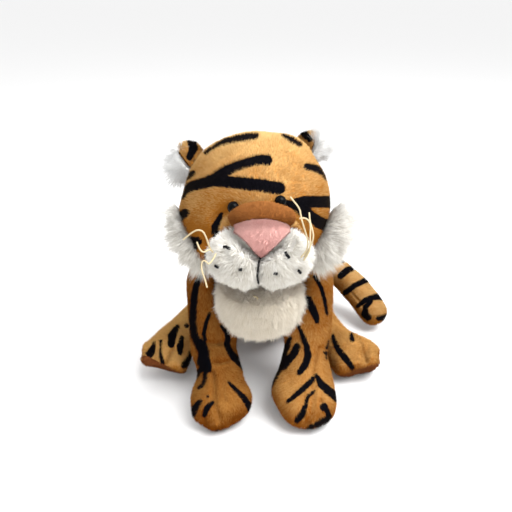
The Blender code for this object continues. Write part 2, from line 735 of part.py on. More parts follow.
def foreleg_form(word, sides, steps):
    path = []
    side = SIDES[word]
    rows = zip(FORELEG_SPREAD_SHARES, FORELEG_TURN_SHARES, FORELEG_REACH_SHARES, FORELEG_FALL_SHARES)
    for spread, turn, reach, fall in rows:
        out = between(SHOULDER_SPREAD, PAW_SPREAD, spread) + PAW_TURN_OUT[word] * turn
        path.append(
            Vector(
                (
                    side * out,
                    -between(SHOULDER_FORWARD, PAW_REACH, reach),
                    between(SHOULDER_HEIGHT, 0.0, fall),
                )
            )
        )
    widths = [PAW_HALF_WIDTH * share for share in FORELEG_WIDTH_SHARES]
    depths = [FORELEG_HALF_DEPTH * share for share in FORELEG_DEPTH_SHARES]
    across = Vector((1.0, 0.0, 0.0))
    form = lofted(
        "foreleg_form", path, widths, depths, across, FORELEG_HALF_DEPTH, FORELEG_HALF_DEPTH, sides, steps
    )
    return moved(form, Vector((0.0, 0.0, -lowest(form) - FLOOR_FLAT)))


def chest_room():
    """The round room between the forelegs, about the shoulders' axis."""
    middle = Vector((0.0, -SHOULDER_FORWARD, SHOULDER_HEIGHT))
    reach = Vector((SHOULDER_PLANE, 0.0, 0.0))
    return rod("chest_room", middle - reach, middle + reach, FORELEG_SWEEP + GAP, ROUND_TOOL_SIDES)


def make_foreleg(word, finish, pivot):
    stuffed(
        "foreleg_" + word,
        foreleg_form(word, LOFT_SIDES, LOFT_STEPS),
        foreleg_form(word, INNER_SIDES, INNER_STEPS),
        [chest_room(), floor_tool()],
        finish["plush"],
        finish["stuffing"],
        pivot,
    )


def sole_axes(side):
    """The sole's middle, its outward direction, its way along to the toes and its way up."""
    outward = Vector((0.0, -math.cos(SOLE_DIP), -math.sin(SOLE_DIP)))
    turn = Matrix.Rotation(side * SOLE_YAW, 3, "Z")
    outward = turn @ outward
    toes = turn @ Vector((side, 0.0, 0.0))
    middle = Vector((side * SOLE_SPREAD, -SOLE_FORWARD, SOLE_HEIGHT))
    return middle, outward, toes, outward.cross(toes) * side


def hind_form(side, grain):
    """A row of balls from the hip through the thigh to the foot, grown together. It is longer than
    the foot, which the sole's plane cuts flat."""
    middle, outward, toes, up = sole_axes(side)
    hip = Vector((side * (HIP_PLANE + HIP_RADIUS * HIP_INSET_SHARE), HIP_BACK, HIP_HEIGHT))
    foot = middle - outward * FOOT_LENGTH
    drop = HEEL_DROP_SHARE + side * HEEL_SLUMP_SHARE
    heel_shift = Vector((side * HEEL_OUT_SHARE, 0.0, -drop)) * HIP_RADIUS
    heel = foot.lerp(hip, HEEL_SHARE) + heel_shift
    turn = Matrix((toes, -outward, up * side)).transposed().to_4x4()
    round_foot = Vector((SOLE_HALF_LENGTH, FOOT_LENGTH * FOOT_DEPTH_SHARE, SOLE_HALF_HEIGHT)) * FOOT_BULGE
    round_hip = Vector((HIP_RADIUS, HIP_RADIUS, HIP_RADIUS))
    balls = []
    for k in range(HIND_BALLS + 1):
        share = k / HIND_BALLS
        centre = smooth_value([hip, heel, foot], share)
        waist = 1.0 - HIND_WAIST_SHARE * math.sin(math.pi * share)
        radii = round_hip.lerp(round_foot, share) * waist
        balls.append(ball("hind_ball", centre, radii, turn, SMALL_SIDES, SMALL_RINGS))
    return grown_together("hind_form", balls, grain)


def sole_form(side):
    middle, outward, toes, up = sole_axes(side)
    path = [middle + outward * (GAP + SOLE_THICKNESS * k / 3.0) for k in range(4)]
    widths = [SOLE_HALF_LENGTH] * 4
    depths = [SOLE_HALF_HEIGHT] * 4
    return lofted("sole_form", path, widths, depths, toes, 0.0, SOLE_THICKNESS, LOFT_SIDES, SOLE_STEPS)


def make_hind_leg(word, side, finish, pivot):
    middle, outward, toes, up = sole_axes(side)
    sole = sole_form(side)
    shift = Vector((0.0, 0.0, -lowest(sole) - FLOOR_FLAT))
    sole = combined(moved(sole, shift), [floor_tool()])
    piece("hind_sole_" + word, sole, finish["sole"], pivot)
    hip_side = half_space(
        "hip_side", Vector((side * HIP_PLANE, 0.0, 0.0)), Vector((-side, 0.0, 0.0))
    )
    sole_side = half_space("sole_side", middle + shift, outward)
    stuffed(
        "hind_leg_" + word,
        moved(hind_form(side, FINE_GRAIN), shift),
        moved(hind_form(side, COARSE_GRAIN), shift),
        [hip_side, sole_side, floor_tool()],
        finish["plush"],
        finish["stuffing"],
        pivot,
    )


def tail_root():
    return Vector((TAIL_ROOT_SPREAD, TAIL_ROOT_BACK, TAIL_ROOT_HEIGHT))


def tail_ball(extra):
    return ball("tail_ball", tail_root(), (TAIL_ROOT_RADIUS + extra,) * 3, None, FACE_SIDES, FACE_RINGS)


def tail_form(sides, steps):
    root = tail_root()
    tip = Vector((TAIL_TIP_SPREAD, TAIL_TIP_BACK, TAIL_TIP_RADIUS + TAIL_CLEARANCE))
    path, girths = [], []
    rows = zip(TAIL_SPREAD_SHARES, TAIL_BOW_SHARES, TAIL_FALL_SHARES, TAIL_GIRTH_SHARES)
    for spread, bow, fall, girth in rows:
        path.append(
            Vector(
                (
                    between(root.x, tip.x, spread),
                    between(root.y, tip.y, spread) + TAIL_BOW * bow,
                    between(root.z, tip.z, fall),
                )
            )
        )
        girths.append(between(TAIL_ROOT_RADIUS, TAIL_TIP_RADIUS, girth))
    across = Vector((0.0, 1.0, 0.0))
    path[0] = path[0] - (path[1] - path[0]).normalized() * TAIL_ROOT_RADIUS
    return lofted(
        "tail_form", path, girths, girths, across, TAIL_ROOT_RADIUS, TAIL_TIP_RADIUS, sides, steps
    )


def make_tail(finish, tail_pivot):
    inward = Vector((0.0, -OVERRUN, 0.0))
    mouth = rod("mouth", tail_root(), tail_root() + inward, TAIL_MOUTH_RADIUS)
    stuffed(
        "tail",
        tail_form(LOFT_SIDES - 4, LOFT_STEPS + 3),
        tail_form(INNER_SIDES - 4, INNER_STEPS + 2),
        [mouth],
        finish["plush"],
        finish["stuffing"],
        tail_pivot,
    )


def make_whiskers(finish, head_pivot):
    for name, points in WHISKERS.items():
        route = [Vector(point) for point in points]
        curve = bpy.data.curves.new(name, "CURVE")
        curve.dimensions = "3D"
        curve.bevel_depth = WHISKER_RADIUS
        curve.bevel_resolution = 2
        curve.use_fill_caps = True
        spline = curve.splines.new("POLY")
        spline.points.add(WHISKER_POINTS - 1)
        for k in range(WHISKER_POINTS):
            place = smooth_value(route, k / (WHISKER_POINTS - 1))
            spline.points[k].co = (*(head_pivot.matrix_world.inverted() @ place), 1.0)
        curve.materials.append(finish["thread"])
        made = bpy.data.objects.new(name, curve)
        bpy.context.scene.collection.objects.link(made)
        made.parent = head_pivot


def main():
    clear_scene()
    finish = {
        "plush": material("orange_plush", (0.74, 0.40, 0.12), 0.9),
        "white": material("white_pile", (0.86, 0.84, 0.80), 0.95),
        "bridge": material("brown_plush", (0.30, 0.12, 0.035), 0.9),
        "nose": material("pink_plush", (0.72, 0.40, 0.38), 0.9),
        "sole": material("sole_plush", (0.24, 0.10, 0.04), 0.9),
        "eye": material("black_plastic", (0.01, 0.01, 0.01), 0.1),
        "washer": material("washer_plastic", (0.80, 0.80, 0.78), 0.5),
        "thread": material("cream_thread", (0.83, 0.76, 0.58), 0.7),
        "stuffing": material("stuffing", (0.90, 0.90, 0.88), 1.0),
        "pellets": material("pellets", (0.55, 0.55, 0.53), 0.6),
    }
    torso_frame = empty("torso_frame", Vector())
    neck_pivot = empty("neck_pivot", Vector((0.0, -NECK_FORWARD, NECK_HEIGHT)), torso_frame)
    head_pivot = empty("head_pivot", Vector((0.0, -NECK_FORWARD, NECK_HEIGHT)), neck_pivot)
    tail_pivot = empty("tail_pivot", tail_root(), torso_frame)
    make_head(finish, neck_pivot, head_pivot)
    make_whiskers(finish, head_pivot)
    make_torso(finish, torso_frame)
    make_tail(finish, tail_pivot)
    for word, side in SIDES.items():
        shoulder = Vector((side * SHOULDER_PLANE, -SHOULDER_FORWARD, SHOULDER_HEIGHT))
        hip = Vector((side * HIP_PLANE, HIP_BACK, HIP_HEIGHT))
        make_foreleg(word, finish, empty("shoulder_" + word, shoulder, torso_frame))
        make_hind_leg(word, side, finish, empty("hip_" + word, hip, torso_frame))
        root = ear_axes(side)[0]
        make_ear(word, side, finish, empty("ear_hinge_" + word, root, head_pivot))


main()
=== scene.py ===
# Plush tiger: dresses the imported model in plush, pile and thread.
# Every form is in metres, in the model's own frame: +Z up, the tiger faces -Y, its left is at +X.
import json
import math

import bmesh
import bpy
import numpy as np
from mathutils import Matrix, Vector, noise
from mathutils.bvhtree import BVHTree

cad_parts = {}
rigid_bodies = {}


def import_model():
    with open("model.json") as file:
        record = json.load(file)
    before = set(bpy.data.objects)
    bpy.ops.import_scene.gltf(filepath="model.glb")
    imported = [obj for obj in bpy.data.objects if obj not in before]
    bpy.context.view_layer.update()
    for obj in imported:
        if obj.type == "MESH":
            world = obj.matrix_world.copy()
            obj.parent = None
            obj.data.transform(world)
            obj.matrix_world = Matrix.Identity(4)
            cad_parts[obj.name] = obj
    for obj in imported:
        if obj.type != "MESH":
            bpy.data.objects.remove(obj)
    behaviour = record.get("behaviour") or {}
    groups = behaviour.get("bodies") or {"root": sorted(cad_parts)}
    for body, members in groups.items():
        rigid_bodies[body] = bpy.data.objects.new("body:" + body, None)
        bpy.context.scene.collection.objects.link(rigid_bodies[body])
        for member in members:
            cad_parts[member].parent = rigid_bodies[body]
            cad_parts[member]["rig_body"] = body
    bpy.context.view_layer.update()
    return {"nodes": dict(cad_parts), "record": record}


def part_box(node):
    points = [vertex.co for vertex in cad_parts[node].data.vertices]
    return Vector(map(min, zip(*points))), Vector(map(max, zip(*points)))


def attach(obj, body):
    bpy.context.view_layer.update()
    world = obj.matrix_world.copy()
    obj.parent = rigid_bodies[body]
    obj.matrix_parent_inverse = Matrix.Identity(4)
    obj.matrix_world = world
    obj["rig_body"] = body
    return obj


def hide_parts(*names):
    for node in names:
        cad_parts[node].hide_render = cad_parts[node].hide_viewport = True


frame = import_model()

record = frame["record"]
collection = bpy.context.scene.collection
# without a seed, the offsets of noise_vector differ from run to run
noise.seed_set(7)
print("frame loaded")

# camera
view = {
    "eye": (0.0, -0.435, 0.297),
    "lookDown": math.radians(28.0),
    "sensorWidth": 36.0,
    "focalPixels": 537.0,
    "centreX": 260.0,
    "centreY": 270.0,
    "frameWidth": 512.0,
}
sides = {"left": 1.0, "right": -1.0}


def makeCamera(settings):
    lens = bpy.data.cameras.new("photoCamera")
    lens.sensor_width = settings["sensorWidth"]
    lens.lens = lens.sensor_width * settings["focalPixels"] / settings["frameWidth"]
    half = settings["frameWidth"] / 2.0
    lens.shift_x = -(settings["centreX"] - half) / settings["frameWidth"]
    lens.shift_y = (settings["centreY"] - half) / settings["frameWidth"]
    camera = bpy.data.objects.new("photoCamera", lens)
    collection.objects.link(camera)
    turn = Matrix.Rotation(math.radians(90.0) - settings["lookDown"], 4, "X")
    camera.matrix_world = Matrix.Translation(settings["eye"]) @ turn
    bpy.context.scene.camera = camera


def pixelRay(x, y):
    tilt = view["lookDown"]
    ahead = Vector((0.0, math.cos(tilt), -math.sin(tilt)))
    upward = Vector((0.0, math.sin(tilt), math.cos(tilt)))
    across = (x - view["centreX"]) / view["focalPixels"]
    rise = (view["centreY"] - y) / view["focalPixels"]
    return ahead + Vector((across, 0.0, 0.0)) + upward * rise


makeCamera(view)
eyePoint = Vector(view["eye"])


# shader and node helpers
class Wire:
    # one output socket, with sums written as Python
    def __init__(self, tree, socket):
        self.tree = tree
        self.socket = socket

    def sum(self, operation, other, swap=False):
        node = self.tree.nodes.new("ShaderNodeMath")
        node.operation = operation
        for place, value in zip(node.inputs, (other, self) if swap else (self, other)):
            plug(self.tree, place, value)
        return Wire(self.tree, node.outputs[0])

    def __add__(self, other):
        return self.sum("ADD", other)

    def __radd__(self, other):
        return self.sum("ADD", other, True)

    def __sub__(self, other):
        return self.sum("SUBTRACT", other)

    def __mul__(self, other):
        return self.sum("MULTIPLY", other)

    def __rmul__(self, other):
        return self.sum("MULTIPLY", other, True)


def plug(tree, target, value):
    if isinstance(value, Wire):
        tree.links.new(value.socket, target)
    else:
        target.default_value = value


def addNode(tree, kind, settings=None, values=None, out=0):
    # settings are set first, because they change a node's sockets
    node = tree.nodes.new(kind)
    for key, value in (settings or {}).items():
        setattr(node, key, value)
    for key, value in (values or {}).items():
        plug(tree, node.inputs[key], value)
    return Wire(tree, node.outputs[out])


def mixColour(tree, factor, first, second):
    return addNode(tree, "ShaderNodeMix", {"data_type": "RGBA"}, {0: factor, 6: first, 7: second}, 2)


def smoothStep(tree, value, low, high, start=0.0, end=1.0):
    settings = {"interpolation_type": "SMOOTHSTEP"}
    values = {"Value": value, "From Min": low, "From Max": high, "To Min": start, "To Max": end}
    return addNode(tree, "ShaderNodeMapRange", settings, values)


def noiseAt(tree, place, scale, detail=2.0, rough=0.5):
    values = {"Vector": place, "Scale": scale, "Detail": detail, "Roughness": rough}
    return addNode(tree, "ShaderNodeTexNoise", {}, values)


def attributeOf(tree, name, out=2):
    return addNode(tree, "ShaderNodeAttribute", {"attribute_name": name}, {}, out)


def colour(r, g, b):
    return (r, g, b, 1.0)


def newMaterial(name, look):
    # look has the shader's plain values, and the last thing given is each point's place on the object
    made = bpy.data.materials.new(name)
    made.use_nodes = True
    tree = made.node_tree
    shader = tree.nodes["Principled BSDF"]
    for key, value in look.items():
        shader.inputs[key].default_value = value
    return made, tree, shader, addNode(tree, "ShaderNodeTexCoord", {}, {}, 3)


def roughen(tree, shader, strength, distance, height):
    values = {"Strength": strength, "Distance": distance, "Height": height}
    plug(tree, shader.inputs["Normal"], addNode(tree, "ShaderNodeBump", {}, values))


# plush finishes
blackInk = (0.004, 0.004, 0.006)
inkEdge = 0.35


def plush(light, deep, patch, base, up, soft, sheen, uneven, ink=None):
    # light and deep end the dye's range, its tone in painted light and in painted shade, patch is the fineness of
    # its clouds, base the tone of level pile, then the painted light that facing the sky adds and the painted shade
    # that facing down takes, soft how far hairs take their cloth's shade, uneven how hairs differ
    return {
        "light": light, "deep": deep, "patch": patch, "base": base, "up": up,
        "soft": soft, "sheen": sheen, "uneven": uneven, "ink": ink,
    }


plushFinish = {
    "gold": plush((0.86, 0.560, 0.230), (0.35, 0.124, 0.015), 75.0, 0.20, 0.66, 0.85, 0.05, 0.22, blackInk),
    # painted shadow: a darker amber for the foreleg that sits in the head's shadow
    "russet": plush((0.60, 0.300, 0.078), (0.19, 0.050, 0.004), 60.0, 0.20, 0.50, 0.80, 0.05, 0.30, blackInk),
    # gold made deeper for the legs: partly their own deeper dye, partly painted shade on low, front-facing plush
    "amber": plush((0.77, 0.440, 0.142), (0.26, 0.077, 0.008), 60.0, 0.18, 0.56, 0.80, 0.05, 0.30, blackInk),
    # painted light: a brighter gold for the hind leg that sits in the body's shadow
    "apricot": plush((0.93, 0.56, 0.195), (0.42, 0.15, 0.021), 60.0, 0.34, 0.62, 0.80, 0.05, 0.25, blackInk),
    "white": plush((0.91, 0.893, 0.85), (0.60, 0.56, 0.48), 90.0, 0.64, 0.30, 0.50, 0.10, 0.55),
    # painted light: a brighter white for the ear fluff, which sits in shade
    "snow": plush((0.98, 0.98, 0.97), (0.80, 0.80, 0.78), 90.0, 0.66, 0.30, 0.50, 0.10, 0.40),
    "cream": plush((0.92, 0.855, 0.74), (0.72, 0.64, 0.51), 70.0, 0.72, 0.30, 0.55, 0.10, 0.55),
    "brown": plush((0.42, 0.165, 0.048), (0.17, 0.052, 0.012), 110.0, 0.45, 0.34, 0.70, 0.08, 0.30),
    "pink": plush((0.86, 0.52, 0.47), (0.62, 0.30, 0.27), 120.0, 0.50, 0.30, 0.85, 0.10, 0.30),
    "sole": plush((0.30, 0.100, 0.032), (0.14, 0.042, 0.014), 90.0, 0.45, 0.30, 0.70, 0.08, 0.30),
}


def plushTone(tree, recipe, place, share):
    # the colour of one dyed plush, with its printed stripes, painted light on faces turned to the sky and painted
    # shade on faces turned down
    clouds = noiseAt(tree, place, recipe["patch"]) - 0.5
    # painted light and shade: faces turned to the sky are drawn lighter, faces turned down darker, hairs darker at
    # their roots
    level = share + recipe["up"] * attributeOf(tree, "up") + clouds * 0.5 + (recipe["base"] - 0.5)
    level = addNode(tree, "ShaderNodeClamp", {}, {0: level})
    tone = mixColour(tree, level, colour(*recipe["deep"]), colour(*recipe["light"]))
    if not recipe["ink"]:
        return tone
    edge = attributeOf(tree, "ink") + (noiseAt(tree, place, 700.0) - 0.5) * 1.1
    mask = smoothStep(tree, edge, -inkEdge, inkEdge, 1.0, 0.0)
    return mixColour(tree, mask, tone, colour(*recipe["ink"]))


def plushMaterial(name, recipe, zones, strands):
    # strands carry how high on the hair a point is, and hairs get painted shade towards their roots, with the cloth
    # under them in deeper painted shade
    made, tree, shader, place = newMaterial(name, {
        "Roughness": 0.95, "Specular IOR Level": 0.0, "Sheen Weight": recipe["sheen"],
        "Sheen Roughness": 0.5, "Sheen Tint": colour(*recipe["light"]),
    })
    fine = noiseAt(tree, place, 900.0, 2.0, 0.6)
    if strands:
        tint = (attributeOf(tree, "tint") - 0.5) * recipe["uneven"]
        share = smoothStep(tree, attributeOf(tree, "rise"), 0.0, 0.9, 0.20, 0.50) + tint
    else:
        # painted shade: the cloth under the pile is drawn darker than any hair, with fine grain
        share = 0.10 + (fine - 0.5) * 0.4
    coat = plushTone(tree, recipe, place, share)
    for word in zones:
        mask = smoothStep(tree, attributeOf(tree, word + "Zone"), 0.35, 0.65)
        coat = mixColour(tree, mask, coat, plushTone(tree, plushFinish[word], place, share))
    plug(tree, shader.inputs["Base Color"], coat)
    if not strands:
        roughen(tree, shader, 0.5, 0.0006, fine)
        return made
    own = addNode(tree, "ShaderNodeNewGeometry", {}, {}, 1)
    settings = {"vector_type": "NORMAL", "convert_from": "OBJECT", "convert_to": "WORLD"}
    cloth = addNode(tree, "ShaderNodeVectorTransform", settings, {0: attributeOf(tree, "clothNormal", 1)})
    mixed = addNode(tree, "ShaderNodeMix", {"data_type": "VECTOR"}, {0: recipe["soft"], 4: own, 5: cloth}, 1)
    even = addNode(tree, "ShaderNodeVectorMath", {"operation": "NORMALIZE"}, {0: mixed})
    plug(tree, shader.inputs["Normal"], even)
    return made


coats = {}


def coatOf(word, zones=()):
    # the cloth and pile finish of one plush, made once for each set of zones on it
    key = "_".join((word, *zones))
    if key not in coats:
        coats[key] = {
            "cloth": plushMaterial(key + "_cloth", plushFinish[word], zones, False),
            "pile": plushMaterial(key + "_pile", plushFinish[word], zones, True),
        }
    return coats[key]


print("finishes made")


# sewing helpers
def mirrored(place, sign):
    return (place[0] * sign, *place[1:])


def objectFrom(name, mesh):
    made = bpy.data.objects.new(name, mesh)
    collection.objects.link(made)
    return made


def meshOfNodes(name, nodeNames):
    # the nodes' loose triangles, merged, in one mesh
    bm = bmesh.new()
    for nodeName in nodeNames:
        bm.from_mesh(frame["nodes"][nodeName].data)
    bmesh.ops.remove_doubles(bm, verts=bm.verts, dist=0.000002)
    mesh = bpy.data.meshes.new(name)
    bm.to_mesh(mesh)
    bm.free()
    mesh.materials.clear()
    return mesh


def applied(holder):
    view3d = bpy.context.evaluated_depsgraph_get()
    view3d.update()
    mesh = bpy.data.meshes.new_from_object(holder.evaluated_get(view3d), depsgraph=view3d)
    holder.modifiers.clear()
    holder.data = mesh
    return holder


def onlyLargest(mesh):
    # drops the inner skins that a hollow or a second solid leaves, and turns the outer one outwards
    bm = bmesh.new()
    bm.from_mesh(mesh)
    unseen, largest = set(bm.verts), set()
    while unseen:
        body, front = set(), [next(iter(unseen))]
        while front:
            vert = front.pop()
            if vert in body:
                continue
            body.add(vert)
            front.extend(edge.other_vert(vert) for edge in vert.link_edges)
        unseen -= body
        largest = max(largest, body, key=len)
    bmesh.ops.delete(bm, geom=[v for v in bm.verts if v not in largest], context="VERTS")
    bmesh.ops.recalc_face_normals(bm, faces=bm.faces)
    if bm.calc_volume(signed=True) < 0.0:
        bmesh.ops.reverse_faces(bm, faces=bm.faces)
    bm.to_mesh(mesh)
    bm.free()


def addLumps(mesh, lumpsAt):
    # round lumps of filling that the sewn cloth also goes over: (middle, radii)
    bm = bmesh.new()
    bm.from_mesh(mesh)
    for middle, radii in lumpsAt:
        place = Matrix.Translation(middle) @ Matrix.Diagonal((*radii, 1.0))
        bmesh.ops.create_icosphere(bm, subdivisions=3, radius=1.0, matrix=place)
    bm.to_mesh(mesh)
    bm.free()


def skinOver(name, nodeNames, voxel, ease, lumpsAt=()):
    # one smooth skin over a stuffed node and its filling
    holder = objectFrom(name, meshOfNodes(name, nodeNames))
    addLumps(holder.data, lumpsAt)
    remesh = holder.modifiers.new("weave", "REMESH")
    remesh.mode = "VOXEL"
    remesh.voxel_size = voxel
    smooth = holder.modifiers.new("ease", "SMOOTH")
    smooth.factor = 0.5
    smooth.iterations = ease
    onlyLargest(applied(holder).data)
    return holder


def vertexArray(mesh, field="co"):
    values = np.zeros(len(mesh.vertices) * 3, np.float32)
    mesh.vertices.foreach_get(field, values)
    return values.reshape(-1, 3).astype(np.float64)


def setPoints(mesh, points):
    mesh.vertices.foreach_set("co", points.astype(np.float32).ravel())
    mesh.update()


def shade(mesh, smooth):
    mesh.polygons.foreach_set("use_smooth", [smooth] * len(mesh.polygons))


def treeOf(mesh):
    mesh.calc_loop_triangles()
    faces = [tuple(t.vertices) for t in mesh.loop_triangles]
    return BVHTree.FromPolygons([v.co for v in mesh.vertices], faces)


def layOn(tree, stroke, middle):
    # puts a line of photo pixels on the cloth that the camera sees there
    line = []
    for x, y, width in stroke:
        ray = pixelRay(x, y)
        spot = tree.ray_cast(eyePoint, ray.normalized())[0]
        far = (middle - eyePoint).dot(ray) / ray.length_squared
        for _ in range(2):
            if spot is None:
                spot = tree.find_nearest(eyePoint + ray * far)[0]
                far = (spot - eyePoint).dot(ray) / ray.length_squared
        near = (spot - eyePoint).length / ray.length
        line.append((np.array(spot), width * near / view["focalPixels"]))
    return line


def pixelsOf(points):
    # where the camera sees each point, in photo pixels
    tilt = view["lookDown"]
    gap = points - np.array(view["eye"])
    depth = gap[:, 1] * math.cos(tilt) - gap[:, 2] * math.sin(tilt)
    rise = gap[:, 1] * math.sin(tilt) + gap[:, 2] * math.cos(tilt)
    across = view["centreX"] + view["focalPixels"] * gap[:, 0] / depth
    down = view["centreY"] - view["focalPixels"] * rise / depth
    return np.stack((across, down), axis=1)


def gapToLine(points, start, end):
    # how far each point is from a straight line, and where along it the nearest spot is, 0 to 1
    along = end - start
    share = np.clip((points - start) @ along / (float(along @ along) or 1e-12), 0.0, 1.0)
    return np.linalg.norm(points - (start + share[:, None] * along), axis=1), share


def withinOutline(points, outline):
    # 1 inside an outline of photo pixels, 0 outside, soft over a pixel and a half
    spots = pixelsOf(points)
    inside = np.zeros(len(spots), bool)
    gap = np.full(len(spots), 1e6)
    corners = [np.array(corner, float) for corner in outline]
    for a, b in zip(corners, corners[1:] + corners[:1]):
        across, level = b - a
        crosses = (a[1] > spots[:, 1]) != (b[1] > spots[:, 1])
        inside ^= crosses & (spots[:, 0] < across * (spots[:, 1] - a[1]) / (level or 1e-9) + a[0])
        gap = np.minimum(gap, gapToLine(spots, a, b)[0])
    return np.clip(0.5 + np.where(inside, gap, -gap) / 1.5, 0.0, 1.0)


def gapsTo(nodeName, points):
    # how far each point is from a node
    tree = treeOf(frame["nodes"][nodeName].data)
    return np.array([tree.find_nearest(Vector(point))[3] for point in points])


def depthInto(points, lines, far=0.05):
    # the distance to the nearest stroke's edge, negative inside
    best = np.full(len(points), far)
    for line in lines:
        for (a, wideA), (b, wideB) in zip(line, line[1:]):
            gap, share = gapToLine(points, a, b)
            best = np.minimum(best, gap - (wideA + (wideB - wideA) * share))
    return best


def inkFromPixels(points, strokes):
    # how far each point lies outside the nearest stroke as the camera sees it, in metres
    lines = [[(np.array((x, y)), width) for x, y, width in stroke] for stroke in strokes]
    depth = np.linalg.norm(points - np.array(view["eye"]), axis=1)
    return depthInto(pixelsOf(points), lines, 60.0) * depth / view["focalPixels"]


def store(mesh, name, kind, values):
    layer = mesh.attributes.get(name) or mesh.attributes.new(name, kind, "POINT")
    field = "vector" if kind == "FLOAT_VECTOR" else "value"
    layer.data.foreach_set(field, np.asarray(values, np.float32).ravel())


def pushOut(mesh, amounts, shift=(0.0, 0.0, 0.0)):
    # moves each point along its normal
    points = vertexArray(mesh)
    setPoints(mesh, points + vertexArray(mesh, "normal") * amounts[:, None] + np.array(shift))


def pressSeams(mesh, lines, depth, reach):
    # sinks the cloth along the seams, where the thread pulls it in
    if not lines:
        return np.ones(len(mesh.vertices))
    gap = np.maximum(depthInto(vertexArray(mesh), lines), 0.0)
    pull = np.exp(-((gap / reach) ** 2))
    pushOut(mesh, -depth * pull)
    return 1.0 - pull


def drawIn(mesh, amount, shift=(0.0, 0.0, 0.0), joined=None):
    # the pile stands on cloth that lies this much deeper, but not beside a seam to its twin
    share = np.ones(len(mesh.vertices))
    if joined:
        share = np.clip(np.abs(vertexArray(mesh)[:, 0] - joined[0]) / joined[1], 0.0, 1.0) ** 2
    pushOut(mesh, -amount * share, shift)


def pressIn(mesh, dents):
    # pushes the cloth in (or out) round a photo pixel: (x, y, reach in pixels, depth in metres)
    for x, y, reach, depth in dents:
        gap = np.linalg.norm(pixelsOf(vertexArray(mesh)) - (x, y), axis=1) / reach
        pushOut(mesh, -depth * np.clip(1.0 - gap ** 2, 0.0, 1.0) ** 2)


def stretch(mesh, anchor, scale):
    setPoints(mesh, np.array(anchor) + (vertexArray(mesh) - np.array(anchor)) * np.array(scale))


def raiseToe(mesh, toward, start, end, lift, ceiling):
    # lifts the underside between two distances out from the middle, and fades out at the ceiling height
    points = vertexArray(mesh)
    out = np.clip((points[:, 0] * toward - start) / (end - start), 0.0, 1.0)
    low = np.clip(1.0 - points[:, 2] / ceiling, 0.0, 1.0)
    points[:, 2] += lift * out * out * (3.0 - 2.0 * out) * low
    setPoints(mesh, points)


def lumps(mesh, size, height, seed):
    # the uneven fill under the cloth
    shift = Vector((seed * 7.31, seed * 3.17, seed * 5.77))
    rise = [noise.noise(Vector(point) / size + shift) for point in vertexArray(mesh)]
    pushOut(mesh, np.array(rise) * height)


# pile, as geometry nodes
pileSizes = {
    "Density": "Float", "Length": "Float", "Thickness": "Float", "Scatter": "Float", "Bend": "Float",
    "Segments": "Int", "Seed": "Int", "Finish": "Material",
}


